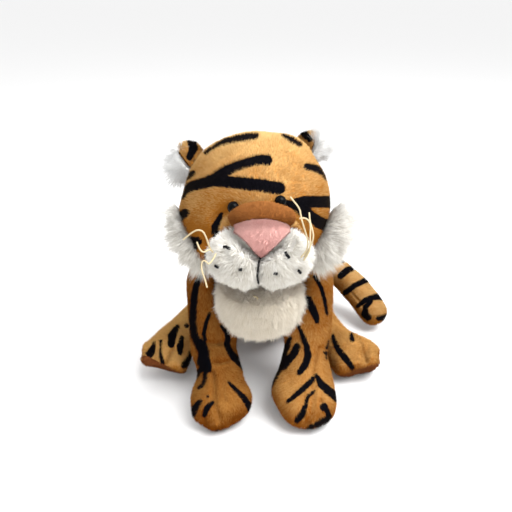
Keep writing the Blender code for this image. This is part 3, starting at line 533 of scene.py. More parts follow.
def pileTree():
    tree = bpy.data.node_groups.new("pile", "GeometryNodeTree")
    face = tree.interface
    face.new_socket("Geometry", in_out="INPUT", socket_type="NodeSocketGeometry")
    for name, kind in pileSizes.items():
        face.new_socket(name, in_out="INPUT", socket_type="NodeSocket" + kind)
    face.new_socket("Geometry", in_out="OUTPUT", socket_type="NodeSocketGeometry")
    given = {socket.name: Wire(tree, socket) for socket in tree.nodes.new("NodeGroupInput").outputs}

    def attribute(name, kind):
        return addNode(tree, "GeometryNodeInputNamedAttribute", {"data_type": kind}, {"Name": name})

    def keep(geometry, name, kind, value):
        settings = {"data_type": kind, "domain": "POINT"}
        values = {"Geometry": geometry, "Name": name, "Value": value}
        return addNode(tree, "GeometryNodeStoreNamedAttribute", settings, values)

    def addVectors(first, second):
        return addNode(tree, "ShaderNodeVectorMath", {"operation": "ADD"}, {0: first, 1: second})

    def randomBetween(low, high, step):
        values = {2: low, 3: high, "Seed": given["Seed"] + step}
        return addNode(tree, "FunctionNodeRandomValue", {"data_type": "FLOAT"}, values, 1)

    grow = attribute("grow", "FLOAT")
    density = given["Density"] * grow.sum("GREATER_THAN", 0.03)
    values = {"Mesh": given["Geometry"], "Density": density, "Seed": given["Seed"]}
    roots = addNode(tree, "GeometryNodeDistributePointsOnFaces", {}, values)
    normal = Wire(tree, roots.socket.node.outputs["Normal"])
    roots = keep(roots, "clothNormal", "FLOAT_VECTOR", normal)
    roots = keep(roots, "tint", "FLOAT", randomBetween(0.0, 1.0, 11))

    values = {0: (-1.0, -1.0, -1.0), 1: (1.0, 1.0, 1.0), "Seed": given["Seed"]}
    loose = addNode(tree, "FunctionNodeRandomValue", {"data_type": "FLOAT_VECTOR"}, values)
    values = {0: loose, "Scale": given["Scatter"]}
    loose = addNode(tree, "ShaderNodeVectorMath", {"operation": "SCALE"}, values)
    heading = addVectors(normal, addVectors(attribute("comb", "FLOAT_VECTOR"), loose))
    turned = addNode(tree, "FunctionNodeAlignRotationToVector", {"axis": "Z"}, {"Vector": heading})
    values = {"Axis": (0.0, 0.0, 1.0), "Angle": randomBetween(0.0, 6.28, 23)}
    values = {"Rotation": turned, "Rotate By": addNode(tree, "FunctionNodeAxisAngleToRotation", {}, values)}
    rolled = addNode(tree, "FunctionNodeRotateRotation", {"rotation_space": "LOCAL"}, values)
    length = given["Length"] * grow * randomBetween(0.65, 1.15, 37)
    values = {"X": given["Thickness"], "Y": given["Thickness"], "Z": length}
    size = addNode(tree, "ShaderNodeCombineXYZ", {}, values)

    values = {"Side Segments": given["Segments"], "Radius Top": 0.0, "Radius Bottom": 1.0, "Depth": 1.0}
    values["Vertices"] = 3
    hair = addNode(tree, "GeometryNodeMeshCone", {"fill_type": "NONE"}, values)
    place = addNode(tree, "GeometryNodeInputPosition")
    height = addNode(tree, "ShaderNodeSeparateXYZ", {}, {"Vector": place}, 2)
    hair = keep(hair, "rise", "FLOAT", height)
    bow = addNode(tree, "ShaderNodeCombineXYZ", {}, {"X": height * height * given["Bend"]})
    hair = addNode(tree, "GeometryNodeSetPosition", {}, {"Geometry": hair, "Offset": bow})
    values = {"Points": roots, "Instance": hair, "Rotation": rolled, "Scale": size}
    planted = addNode(tree, "GeometryNodeInstanceOnPoints", {}, values)
    whole = addNode(tree, "GeometryNodeRealizeInstances", {}, {"Geometry": planted})
    done = addNode(tree, "GeometryNodeSetMaterial", {}, {"Geometry": whole, "Material": given["Finish"]})
    plug(tree, tree.nodes.new("NodeGroupOutput").inputs[0], done)
    return tree


pile = pileTree()
pileSockets = {item.name: item.identifier for item in pile.interface.items_tree if item.in_out == "INPUT"}


def pileOf(density, length, thickness, scatter, bend, segments, seed):
    # density is in hairs a square millimetre, and bend is how far a tip bows in hair thicknesses
    return {
        "Density": density * 1e6, "Length": length, "Thickness": thickness, "Scatter": scatter,
        "Bend": bend, "Segments": segments, "Seed": seed,
    }


def growPile(name, holder, settings, finish):
    # hairs over the whole skin, as one plain mesh
    carrier = objectFrom(name, holder.data.copy())
    grower = carrier.modifiers.new("pile", "NODES")
    grower.node_group = pile
    for key, value in {**settings, "Finish": finish}.items():
        grower[pileSockets[key]] = value
    return applied(carrier)


# dressing one piece
airFrames = 12
airCloth = {
    "quality": 4, "mass": 0.2, "tension_stiffness": 30.0, "compression_stiffness": 30.0, "use_pressure": True,
}
# What a recipe leaves out. The cloth: ease is its smoothing passes, air the pressure that swells it by up
# to airCap, inset how deep it lies under the pile, joined (x, width) where it isn't drawn in. The print:
# broad keeps a stroke within so many of its widths on the cloth, bleed is how far ink runs. The pile: fall,
# source with push, and sweep say how it lies, clump (size, sway, unevenness) how it gathers.
usual = {
    "ease": 6, "levels": 1, "fill": 0.8, "fall": 0.0, "air": 0.0, "airCap": 0.0015, "lumpsAt": (),
    "lumps": 0.0, "inset": 0.0, "shift": (0.0, 0.0, 0.0), "joined": None, "dents": (), "stretch": None,
    "raised": None, "replaces": None, "seams": (), "seamDepth": 0.0008, "seamReach": 0.0014,
    "strokes": (), "hiddenStrokes": (), "wrap": False, "bleed": 0.0004, "broad": 5.0, "zones": (),
    "zoneEdge": 0.0008, "outside": None, "near": None, "hiddenBy": (), "hiddenGap": 0.004, "shyOf": None,
    "shortest": 0.30, "source": None, "sweep": None, "clump": None,
}
stuffed = {"levels": 2, "fill": 0.85, "air": 3.0, "inset": 0.0014}
skinTrees = {}


def polar(tree, middle, stroke):
    # a stroke of (azimuth, elevation, half width in mm) round a middle, for the sides that the photo hides
    line = []
    for azimuth, elevation, width in stroke:
        a, e = math.radians(azimuth), math.radians(elevation)
        out = Vector((math.sin(a) * math.cos(e), -math.cos(a) * math.cos(e), math.sin(e)))
        spot = tree.ray_cast(middle + out * 0.3, -out)[0]
        if spot is None:
            spot = tree.find_nearest(middle + out * 0.05)[0]
        line.append((np.array(spot), width / 1000.0))
    return line


def inflate(holder, pressure, cap):
    # air pressure swells the sewn cover, and no point moves further than the cap
    before = vertexArray(holder.data)
    cloth = holder.modifiers.new("air", "CLOTH")
    for key, value in {**airCloth, "uniform_pressure_force": pressure}.items():
        setattr(cloth.settings, key, value)
    cloth.settings.effector_weights.gravity = 0.0
    cloth.point_cache.frame_start = 1
    cloth.point_cache.frame_end = airFrames
    for step in range(1, airFrames + 1):
        bpy.context.scene.frame_set(step)
    applied(holder)
    bpy.context.scene.frame_set(1)
    move = vertexArray(holder.data) - before
    share = np.minimum(1.0, cap / np.maximum(np.linalg.norm(move, axis=1), 1e-9))
    setPoints(holder.data, before + move * share[:, None])


def cutSkin(name, nodes, recipe):
    # the cloth of one piece, sewn and filled
    skin = skinOver(name + "_skin", nodes, recipe["voxel"], recipe["ease"], recipe["lumpsAt"])
    if recipe["air"]:
        inflate(skin, recipe["air"], recipe["airCap"])
    drawIn(skin.data, recipe["inset"], recipe["shift"], recipe["joined"])
    pressIn(skin.data, recipe["dents"])
    if recipe["stretch"]:
        stretch(skin.data, *recipe["stretch"])
    if recipe["raised"]:
        raiseToe(skin.data, *recipe["raised"])
    finer = skin.modifiers.new("finer", "SUBSURF")
    finer.levels = finer.render_levels = recipe["levels"]
    return applied(skin)


def facesEye(points, mesh):
    return ((np.array(view["eye"]) - points) * vertexArray(mesh, "normal")).sum(axis=1) > 0.0


def printInk(mesh, tree, middle, recipe):
    # stores how far each point lies outside the printed stripes, in mm
    points, printed = vertexArray(mesh), recipe["strokes"]
    ink = depthInto(points, [polar(tree, middle, line) for line in recipe["hiddenStrokes"]])
    if printed:
        lines = [layOn(tree, line, middle) for line in printed]
        broad = [[(spot, width * recipe["broad"]) for spot, width in line] for line in lines]
        shown = np.maximum(inkFromPixels(points, printed), depthInto(points, broad))
        ink = np.where(facesEye(points, mesh) | recipe["wrap"], np.minimum(ink, shown), ink)
    store(mesh, "ink", "FLOAT", (ink - recipe["bleed"]) * 1000.0)


def markZones(mesh, grow, recipe):
    # where the piece has another dye: (its finish, outline, pile's share of the length, how far it sinks)
    for word, outline, length, sink in recipe["zones"]:
        points = vertexArray(mesh)
        inside = withinOutline(points, outline)
        if recipe["outside"] == word:
            inside = 1.0 - inside
        if recipe["near"]:
            node, reach = recipe["near"]
            over = np.clip((reach - gapsTo(node, points)) / recipe["zoneEdge"] + 0.5, 0.0, 1.0)
            inside = np.where(facesEye(points, mesh), inside, over)
        if sink:
            # under a neighbour the cloth shrinks towards the core, so that it can't come out at the back
            way = (np.array(recipe["core"]) - points) * sink
            setPoints(mesh, points + way * inside[:, None])
        store(mesh, word + "Zone", "FLOAT", inside)
        grow *= 1.0 + (length - 1.0) * inside


def thinOut(points, grow, recipe):
    # no hair grows under a neighbour, and hairs are shorter beside a node that they are shy of
    for other in recipe["hiddenBy"]:
        for index, point in enumerate(points):
            spot, facing, _, gap = skinTrees[other].find_nearest(Vector(point))
            if gap > recipe["hiddenGap"] and (Vector(point) - spot).dot(facing) < 0.0:
                grow[index] = 0.0
    if recipe["shyOf"]:
        node, reach = recipe["shyOf"]
        grow *= np.clip(gapsTo(node, points) / reach, recipe["shortest"], 1.0)


def combOf(points, grow, recipe):
    # which way hairs lean: down, away from a source, along a sweep and in clumps, which differ in length
    comb = np.zeros((len(points), 3))
    comb[:, 2] -= recipe["fall"]
    if recipe["source"]:
        away = points - np.array(recipe["source"])
        away /= np.maximum(np.linalg.norm(away, axis=1), 1e-6)[:, None]
        comb += away * recipe["push"]
    if recipe["sweep"]:
        comb += np.array(recipe["sweep"])
    if recipe["clump"]:
        size, sway, uneven = recipe["clump"]
        for index, point in enumerate(points):
            comb[index] += np.array(noise.noise_vector(Vector(point) / size)) * sway
            grow[index] *= 1.0 + uneven * noise.noise(Vector(point) / size + Vector((9.1, 4.2, 6.3)))
    return comb


def dress(name, body, recipe, nodes=None):
    # skin, stripes, seams and pile of one sewn piece, cut from its nodes and shown instead of the first
    recipe = {**usual, **recipe}
    nodes = nodes or [name]
    skin = cutSkin(name, nodes, recipe)
    mesh = skin.data
    points, tree = vertexArray(mesh), treeOf(mesh)
    middle = Vector((points.min(axis=0) + points.max(axis=0)) / 2.0)
    seams = [layOn(tree, [(x, y, 0.0) for x, y in line], middle) for line in recipe["seams"]]
    if recipe["lumps"]:
        lumps(mesh, recipe["lumpSize"], recipe["lumps"], recipe["seed"])
    # the hairs in a seam are a little over half as long
    grow = 0.55 + 0.45 * pressSeams(mesh, seams, recipe["seamDepth"], recipe["seamReach"])
    printInk(mesh, tree, middle, recipe)
    # painted light: how much each point faces the sky, which lightens its drawn tone
    store(mesh, "up", "FLOAT", vertexArray(mesh, "normal")[:, 2])
    markZones(mesh, grow, recipe)
    points = vertexArray(mesh)
    thinOut(points, grow, recipe)
    store(mesh, "comb", "FLOAT_VECTOR", combOf(points, grow, recipe))
    store(mesh, "grow", "FLOAT", grow)
    coat = coatOf(recipe["coat"], tuple(zone[0] for zone in recipe["zones"]))
    mesh.materials.clear()
    mesh.materials.append(coat["cloth"])
    shade(mesh, True)
    skinTrees[name] = tree
    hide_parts(*(recipe["replaces"] or nodes[:1]))
    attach(skin, body)
    hair = growPile(name + "_pile", skin, recipe["pile"], coat["pile"])
    shade(hair.data, False)
    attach(hair, body)
    print(name, len(mesh.polygons), "faces,", len(hair.data.polygons), "pile faces")


# whiskers
whiskers = {
    "left_upper": [
        (0.0244, -0.1486, 0.1532), (0.0279, -0.1485, 0.1586), (0.0280, -0.1472, 0.1643),
        (0.0260, -0.1445, 0.1705), (0.0244, -0.1414, 0.1752), (0.0233, -0.1383, 0.1800),
        (0.0205, -0.1360, 0.1833), (0.0180, -0.1335, 0.1857),
    ],
    "left_middle": [
        (0.0265, -0.1474, 0.1529), (0.0296, -0.1483, 0.1598), (0.0312, -0.1484, 0.1660),
        (0.0307, -0.1463, 0.1700), (0.0296, -0.1411, 0.1733), (0.0294, -0.1355, 0.1765),
    ],
    "left_lower": [
        (0.0262, -0.1484, 0.1514), (0.0293, -0.1503, 0.1589), (0.0292, -0.1494, 0.1672),
        (0.0294, -0.1466, 0.1726), (0.0282, -0.1455, 0.1758), (0.0257, -0.1449, 0.1770),
        (0.0229, -0.1450, 0.1767),
    ],
    "right_upper": [
        (-0.0291, -0.1429, 0.1549), (-0.0302, -0.1455, 0.1585), (-0.0315, -0.1467, 0.1647),
        (-0.0335, -0.1466, 0.1692), (-0.0370, -0.1453, 0.1695), (-0.0413, -0.1436, 0.1664),
        (-0.0461, -0.1416, 0.1617),
    ],
    "right_middle": [
        (-0.0284, -0.1443, 0.1546), (-0.0297, -0.1507, 0.1594), (-0.0322, -0.1586, 0.1617),
        (-0.0341, -0.1605, 0.1644), (-0.0368, -0.1506, 0.1640),
    ],
    "right_lower": [
        (-0.0265, -0.1466, 0.1545), (-0.0276, -0.1515, 0.1538), (-0.0299, -0.1556, 0.1524),
        (-0.0322, -0.1560, 0.1549), (-0.0339, -0.1570, 0.1541), (-0.0339, -0.1587, 0.1499),
        (-0.0323, -0.1601, 0.1450), (-0.0311, -0.1612, 0.1398),
    ],
}
whiskerPoints = 14
whiskerRadius = 0.0005


def mottled(name, light, deep, grain, bump, look):
    # two tones in fine grain: grain has its scale, detail and roughness, bump its strength and height
    made, tree, shader, place = newMaterial(name, look)
    tone = noiseAt(tree, place, *grain)
    plug(tree, shader.inputs["Base Color"], mixColour(tree, tone, colour(*deep), colour(*light)))
    roughen(tree, shader, *bump, tone)
    return made


def threadFinish(name, light, deep, roughness):
    look = {"Roughness": roughness, "Specular IOR Level": 0.15}
    return mottled(name, light, deep, (2600.0, 2.0, 0.6), (0.6, 0.0002), look)


creamThread = threadFinish("creamThread", (0.62, 0.52, 0.33), (0.40, 0.32, 0.19), 0.7)
blackThread = threadFinish("blackThread", (0.008, 0.008, 0.009), (0.002, 0.002, 0.003), 0.8)


def smoothRoute(route, count):
    # Catmull-Rom through the route's points
    points = [Vector(p) for p in route]
    padded = [points[0] * 2.0 - points[1]] + points + [points[-1] * 2.0 - points[-2]]
    line = []
    for index in range(count):
        share = index / (count - 1) * (len(points) - 1)
        step = min(int(share), len(points) - 2)
        t = share - step
        a, b, c, d = padded[step:step + 4]
        line.append(
            (b * 2.0 + (c - a) * t + (a * 2.0 - b * 5.0 + c * 4.0 - d) * t * t
             + (b * 3.0 - a - c * 3.0 + d) * t * t * t) * 0.5
        )
    return line


for word, route in whiskers.items():
    line = smoothRoute(route, whiskerPoints)
    curve = bpy.data.curves.new("whisker_" + word + "_thread", "CURVE")
    curve.dimensions = "3D"
    spline = curve.splines.new("POLY")
    spline.points.add(len(line) - 1)
    for spot, point in zip(line, spline.points):
        point.co = (*spot, 1.0)
    curve.bevel_depth = whiskerRadius
    curve.bevel_resolution = 3
    curve.use_fill_caps = True
    curve.materials.append(creamThread)
    thread = objectFrom("whisker_" + word + "_thread", curve)
    length = sum((b - a).length for a, b in zip(line, line[1:]))
    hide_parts("whisker_" + word)
    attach(thread, "head")
print("whiskers laid")

# head
headStrokes = [
    [(206.5, 153.7, 1.1), (217.8, 145.5, 1.4), (225.9, 141.8, 2.3), (238.2, 139.2, 2.8), (255.5, 136.7, 2.4)],
    [(283.1, 136.2, 1.1), (291.2, 140.6, 2.0), (299.4, 145.4, 1.5)],
    [(183.5, 197.1, 2), (186.1, 191, 3.2), (193.3, 186.3, 3.9), (205.5, 183.3, 4.6), (217.8, 179.6, 6)],
    [(217.8, 177.1, 4.5), (228, 170.6, 4.2), (240.2, 165.3, 3.8), (252.4, 161.8, 3.8), (262.7, 160, 4.2),
     (267.1, 160.8, 4.3)],
    [(217.8, 181.2, 5), (230, 182.4, 5.1), (244.3, 184.1, 5.3), (260.6, 185.7, 5.4), (272.9, 187.8, 5.4),
     (278.6, 188.6, 5.4)],
    [(185.1, 182.2, 1), (189.2, 177.1, 1.8), (194.3, 173.5, 1.5)],
    [(181, 217, 3.2), (186, 213, 3.2)],
    [(306.5, 166.9, 2.5), (314.7, 169, 2.6), (322.9, 173.5, 2.4), (325.5, 179.2, 1.5)],
    [(295.7, 201.2, 2), (303.5, 202, 5), (317.8, 202, 4.8), (331, 202, 5.2)],
    [(303.5, 207.8, 4), (309.6, 215.9, 4.5), (317.8, 222, 5), (326.9, 226.1, 5)],
    [(287, 203.5, 2.5), (294, 206, 3.5), (300, 209, 4.5), (305, 213, 5)],
    [(187.5, 239.5, 2.5), (193, 240.5, 3.8), (198, 241, 3.4)],
    [(196, 243, 2.5), (197, 248, 1)],
    [(206, 252, 1), (206.5, 257, 1)],
    [(221.5, 214, 1.0), (219.5, 219, 1.8), (215.5, 227, 3.0), (216, 233.5, 3.2)],
]
head = {
    **stuffed, "coat": "gold", "voxel": 0.0038, "ease": 8, "fill": 0.95,
    "air": 4.0, "strokes": headStrokes, "lumps": 0.0009, "lumpSize": 0.028, "seed": 3,
    "seams": [
        [(228, 212.5), (219.5, 217.5), (213, 227.5), (209, 239.0), (207, 250)],
    ],
    "seamDepth": 0.0034, "seamReach": 0.0042,
    "dents": [(186, 224, 36, -0.0034), (218, 231, 12, -0.0050), (200, 254, 17, -0.0050),
              (262, 131, 60, 0.0012), (284, 177, 11, 0.0011), (298, 184, 12, 0.0006),
              (297, 140, 30, -0.0034)],
    "hiddenStrokes": [
        [(-95, 35, 2.2), (-125, 45, 3.2), (-155, 50, 2.6)],
        [(95, 35, 2.2), (125, 45, 3.2), (155, 50, 2.6)],
        [(-90, 5, 3.6), (-115, 10, 3.4), (-140, 16, 2.6), (-160, 20, 1.6)],
        [(84, 2, 3.8), (115, 10, 3.4), (140, 16, 2.6), (160, 20, 1.6)],
        [(-100, -22, 3.0), (-125, -18, 3.2), (-150, -12, 2.0)],
        [(100, -22, 3.0), (125, -18, 3.2), (150, -12, 2.0)],
        [(180, 66, 3.0), (180, 40, 2.2), (180, 12, 1.6)],
    ],
    "zones": [("white", [(228, 276), (292, 276), (292, 302), (228, 302)], 1.4, 0.0)],
    "source": (0.0, -0.135, 0.170), "push": 0.95, "bleed": 0.0007,
    "pile": pileOf(1.85, 0.0022, 0.00022, 0.42, 0.0, 1, 5),
}
dress("head", "head", head, ["head_cover", "head_stuffing"])

# face
bridgeLower = [(228.6, 229.5), (231.6, 226.2), (236.5, 223.6), (243.3, 221.1), (252.8, 219.1), (262.2, 218.7),
               (271.7, 219.3), (279.8, 221.1), (286.6, 223.8), (292.0, 228.0)]
pinkSides = [(292.4, 229.6), (288.6, 233.8), (283.2, 239.5), (277.1, 245.6), (270.4, 252.0), (264.3, 257.6),
             (260.2, 258.6), (256.2, 255.6), (250.1, 248.2), (244.2, 241.4), (237.0, 235.2), (229.8, 229.8)]
pinkOutline = [(x, y - 2.2) for x, y in bridgeLower] + pinkSides
pinkInner = [(261.0 + (x - 261.0) * 0.86, 236.0 + (y - 236.0) * 0.86) for x, y in pinkOutline]
noseCore = (0.0, -0.1270, 0.1640)
belowBridge = bridgeLower + [(310, 236), (310, 300), (205, 300), (205, 236)]
aboveBridge = bridgeLower + [(310, 232), (310, 180), (205, 180), (205, 232)]
goldOutlines = {
    "right": [(200, 200), (231, 205), (231, 226.5), (225, 231), (218, 236), (211, 240), (200, 242)],
    "left": [(290, 200), (325, 205), (325, 246), (311, 238), (305, 231.5), (299, 228), (291, 226.5)],
}
muzzleTop = {
    "coat": "gold", "voxel": 0.0016, "ease": 4,
    "source": (0.0, -0.150, 0.165), "push": 0.5, "fall": 0.1, "inset": 0.0010,
    "pile": pileOf(2.4, 0.0026, 0.00026, 0.45, 0.0, 1, 7),
}
bridge = {
    "coat": "brown", "voxel": 0.0013, "ease": 5,
    "source": (0.0, -0.150, 0.160), "push": 0.5, "inset": 0.0009, "shift": (0.0012, 0.0, -0.0008),
    "core": noseCore, "zones": [("pink", belowBridge, 0.0, 0.34)],
    "pile": pileOf(3.6, 0.0016, 0.00022, 0.45, 0.0, 1, 9),
}
nosePatch = {
    "coat": "pink", "replaces": ["nose_patch"], "voxel": 0.0012, "ease": 5, "fill": 0.85,
    "source": (0.0, -0.145, 0.150), "push": 1.1, "fall": 0.2, "inset": 0.0013,
    "shift": (0.0012, 0.0, -0.0008), "core": noseCore,
    "zones": [("white", pinkOutline, 3.2, 0.27), ("brown", aboveBridge, 0.0, 0.08)], "outside": "white",
    "stretch": ((0.0006, -0.135, 0.160), (1.06, 1.0, 1.0)),
    "pile": pileOf(4.6, 0.0012, 0.00020, 0.45, 0.0, 1, 11),
}
mouthStitch = [(258.2, 259.5), (257.4, 266), (256.6, 274), (256.8, 280.5)]
whiskerDots = {
    "left": [[(286.2, 254.0), (287.6, 256.4)], [(296.2, 268.2), (298.4, 270.6)],
             [(273.2, 272.2), (276.6, 273.4)]],
    "right": [[(227.4, 247.8), (229.6, 248.8)], [(217.4, 266.0), (221.0, 268.2)],
              [(239.0, 269.0), (242.6, 269.4)]],
}
muzzleStripes = {"left": [], "right": [[(220, 217.5, 2.2), (216.5, 225, 3.2), (216, 233.5, 3.3)]]}
besideNose = {
    "left": [(285, 243, 14, -0.0074), (277, 252, 11, -0.0030)],
    "right": [(240, 246, 14, -0.0074), (248, 254, 11, -0.0030)],
}
cheek = {
    "coat": "white", "voxel": 0.0018, "ease": 4, "fill": 0.85, "core": noseCore,
    "source": (0.0, -0.138, 0.160), "push": 0.75, "fall": 0.15, "seamDepth": 0.0016, "seamReach": 0.0020,
    "inset": 0.0028, "joined": (-0.001, 0.018), "clump": (0.0034, 0.55, 0.6),
    "pile": pileOf(2.9, 0.0046, 0.00023, 0.45, 3.0, 2, 13),
}
dress("muzzle_top", "head", muzzleTop)
dress("nose_bridge", "head", bridge, ["nose_bridge", "nose_patch"])
dress("nose_patch", "head", nosePatch, ["nose_bridge", "nose_patch"])
for index, side in enumerate(sides):
    own = dict(cheek, seams=[mouthStitch] + whiskerDots[side], dents=besideNose[side])
    own["zones"] = [("gold", goldOutlines[side], 0.5, 0.0), ("pink", pinkInner, 0.0, 0.30)]
    own["strokes"] = muzzleStripes[side]
    own["pile"] = dict(cheek["pile"], Seed=13 + index)
    dress("muzzle_cheek_" + side, "head", own)

ruff = {
    "coat": "white", "voxel": 0.0022, "ease": 4, "fill": 0.7, "inset": 0.0020,
    "push": 1.3, "clump": (0.0050, 0.45, 0.7), "pile": pileOf(3.3, 0.0120, 0.00018, 0.24, 4.0, 2, 17),
}
ear = {
    "coat": "gold", "wrap": True, "voxel": 0.0014, "ease": 3, "fill": 0.6, "inset": 0.0014,
    "pile": pileOf(2.2, 0.0026, 0.00026, 0.45, 0.0, 1, 19),
}
earFluff = {
    # painted light: the fluff takes the brighter white, as it sits in shade
    "coat": "snow", "voxel": 0.0014, "ease": 3, "fill": 0.6, "inset": 0.0022,
    "clump": (0.0050, 0.75, 0.8),
}
earStrokes = {
    "right": [[(191.2, 142, 3.5), (193.3, 148.6, 4), (189.2, 157.8, 2.5)],
              [(206, 150, .8), (206.5, 153, .8)]],
    "left": [[(294.3, 134.3, 1.5), (301.4, 132.2, 2.8), (309.6, 139.4, 2.5)]],
}
earRoot = {
    "left": [((0.0385, -0.0330, 0.1745), (0.0070, 0.0085, 0.0070))],
    "right": [((-0.0425, -0.0330, 0.1640), (0.0070, 0.0085, 0.0070))],
}
earWay = {
    "left": {"shift": (-0.0045, 0.0, 0.0), "stretch": ((0.030, -0.030, 0.172), (0.90, 1.0, 1.04))},
    "right": {"shift": (-0.0006, 0.0, 0.0018), "stretch": ((-0.042, -0.030, 0.163), (1.0, 1.0, 1.14))},
}
fluffWay = {
    "left": {"lumpsAt": [((0.0515, -0.033, 0.189), (0.0075, 0.0060, 0.0095))],
             "sweep": (0.75, -0.10, 0.55), "pile": pileOf(3.6, 0.0125, 0.00019, 0.28, 6.0, 2, 23)},
    "right": {"lumpsAt": [((-0.0600, -0.033, 0.169), (0.0075, 0.0060, 0.0095)),
                          ((-0.0600, -0.037, 0.1815), (0.0056, 0.0050, 0.0060))],
              "sweep": (-0.55, -0.10, -0.35), "pile": pileOf(3.6, 0.0115, 0.00019, 0.28, 6.0, 2, 24)},
}
for side, sign in sides.items():
    own = dict(ruff, source=(0.034 * sign, -0.074, 0.145), sweep=(0.35 * sign, -0.30, 0.0))
    own["stretch"] = ((0.0624 * sign, -0.086, 0.138), (1.40, 1.0, 0.88))
    dress("cheek_ruff_" + side, "head", own)
    own = dict(ear, strokes=earStrokes[side], lumpsAt=earRoot[side], **earWay[side])
    own["sweep"] = (0.2 * sign, 0.0, 0.4)
    dress("ear_" + side, "ear_" + side, own)
    own = dict(earFluff, shyOf=("ear_" + side, 0.004), **fluffWay[side], **earWay[side])
    dress("ear_fluff_" + side, "ear_" + side, own)

# eyes, mouth and dots
eyeBead = {
    "colour": (0.002, 0.002, 0.0025), "roughness": 0.05, "smear": 0.04, "specular": 0.06,
    "voxel": 0.0005, "ease": 6, "inset": 0.0007,
    "shift": {"left": (0.0, 0.0, -0.0016), "right": (0.0016, -0.0006, -0.0016)},
}


def eyeMaterial(settings):
    look = {"Base Color": colour(*settings["colour"]), "Specular IOR Level": settings["specular"]}
    made, tree, shader, place = newMaterial("eyeBlack", look)
    smear = noiseAt(tree, place, 300.0, 3.0) * settings["smear"]
    plug(tree, shader.inputs["Roughness"], settings["roughness"] + smear)
    return made


eyeBlack = eyeMaterial(eyeBead)
for side in sides:
    eye = skinOver("eye_" + side + "_bead", ["eye_" + side], eyeBead["voxel"], eyeBead["ease"])
    drawIn(eye.data, eyeBead["inset"], eyeBead["shift"][side])
    eye.data.materials.append(eyeBlack)
    shade(eye.data, True)
    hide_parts("eye_" + side)
    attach(eye, "head")

stitch = {"sides": 10, "plies": 3.0, "ridge": 0.16, "twist": 1.1}
# a thread's radius, its height over the cloth and its number of rings
stitchSizes = {"mouth": (0.00062, 0.0030, 40), "dot": (0.0009, 0.0026, 12), "bib": (0.0005, 0.0044, 12)}


def threadAlong(name, line, normals, radius, lift):
    # a stitched cord: a tube whose ridges wind round it, round at both ends
    bm = bmesh.new()
    rings, last, count = [], len(line) - 1, stitch["sides"]
    for index, (spot, outward) in enumerate(zip(line, normals)):
        ahead = (line[min(index + 1, last)] - line[max(index - 1, 0)]).normalized()
        across = ahead.cross(outward).normalized()
        outward = across.cross(ahead).normalized()
        end = min(index, last - index) / last * 2.0
        full = radius * math.sqrt(max(0.05, 1.0 - (1.0 - min(1.0, end * 4.0)) ** 2))
        ring = []
        for side in range(count):
            angle = math.tau * side / count
            ridge = 1.0 + stitch["ridge"] * math.sin(stitch["plies"] * angle + stitch["twist"] * index)
            way = across * math.cos(angle) + outward * math.sin(angle)
            ring.append(bm.verts.new(spot + outward * lift + way * full * ridge))
        rings.append(ring)
    for first, second in zip(rings, rings[1:]):
        for side in range(count):
            after = (side + 1) % count
            bm.faces.new((first[side], first[after], second[after], second[side]))
    bm.faces.new(reversed(rings[0]))
    bm.faces.new(rings[-1])
    bmesh.ops.recalc_face_normals(bm, faces=bm.faces)
    mesh = bpy.data.meshes.new(name)
    bm.to_mesh(mesh)
    bm.free()
    shade(mesh, True)
    return objectFrom(name, mesh)


def stitchOver(name, pixels, carriers, size, body, material):
    # follows the sewn pieces that the camera sees at each pixel
    radius, lift, count = stitchSizes[size]
    line, normals = [], []
    for index in range(count):
        share = index / (count - 1) * (len(pixels) - 1)
        step = min(int(share), len(pixels) - 2)
        (ax, ay), (bx, by) = pixels[step:step + 2]
        t = share - step
        ray = pixelRay(ax + (bx - ax) * t, ay + (by - ay) * t).normalized()
        hits = [skinTrees[carrier].ray_cast(eyePoint, ray) for carrier in carriers]
        hits = [hit for hit in hits if hit[0] is not None]
        if hits:
            near = min(hits, key=lambda hit: hit[3])
            line.append(near[0])
            normals.append((near[1] * 0.3 - ray).normalized())
    for _ in range(3):
        line = line[:1] + [(a + b * 2.0 + c) / 4.0 for a, b, c in zip(line, line[1:], line[2:])] + line[-1:]
    made = threadAlong(name, line, normals, radius, lift)
    made.data.materials.append(material)
    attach(made, body)


cheeks = ["muzzle_cheek_left", "muzzle_cheek_right"]
stitchOver("mouth_stitch", mouthStitch, cheeks, "mouth", "head", blackThread)
for side, dots in whiskerDots.items():
    for index, dot in enumerate(dots):
        name = "whisker_dot_%s_%d" % (side, index)
        stitchOver(name, dot, ["muzzle_cheek_" + side], "dot", "head", blackThread)

# body
torso = {
    **stuffed, "coat": "gold", "voxel": 0.0042, "ease": 12, "lumps": 0.0012,
    "lumpSize": 0.03, "seed": 5, "hiddenBy": ["head"], "fall": 0.35,
    "hiddenStrokes": [
        [(180, 64, 2.6), (172, 44, 2.2), (183, 20, 2.2), (180, -6, 1.8)],
        [(150, 48, 1.4), (128, 44, 3.4), (106, 36, 3.2), (92, 30, 1.6)],
        [(-150, 48, 1.4), (-128, 44, 3.4), (-106, 36, 3.2), (-92, 30, 1.6)],
        [(152, 22, 1.4), (130, 18, 3.6), (106, 14, 3.4), (88, 12, 1.8)],
        [(-152, 24, 1.4), (-130, 20, 3.6), (-106, 12, 3.4), (-88, 10, 1.8)],
        [(150, -2, 1.2), (130, -8, 3.2), (108, -12, 3.0), (90, -14, 1.4)],
        [(-150, 0, 1.2), (-130, -6, 3.2), (-108, -12, 3.0), (-90, -16, 1.4)],
    ],
    "pile": pileOf(1.5, 0.0030, 0.00033, 0.5, 0.0, 1, 29),
}
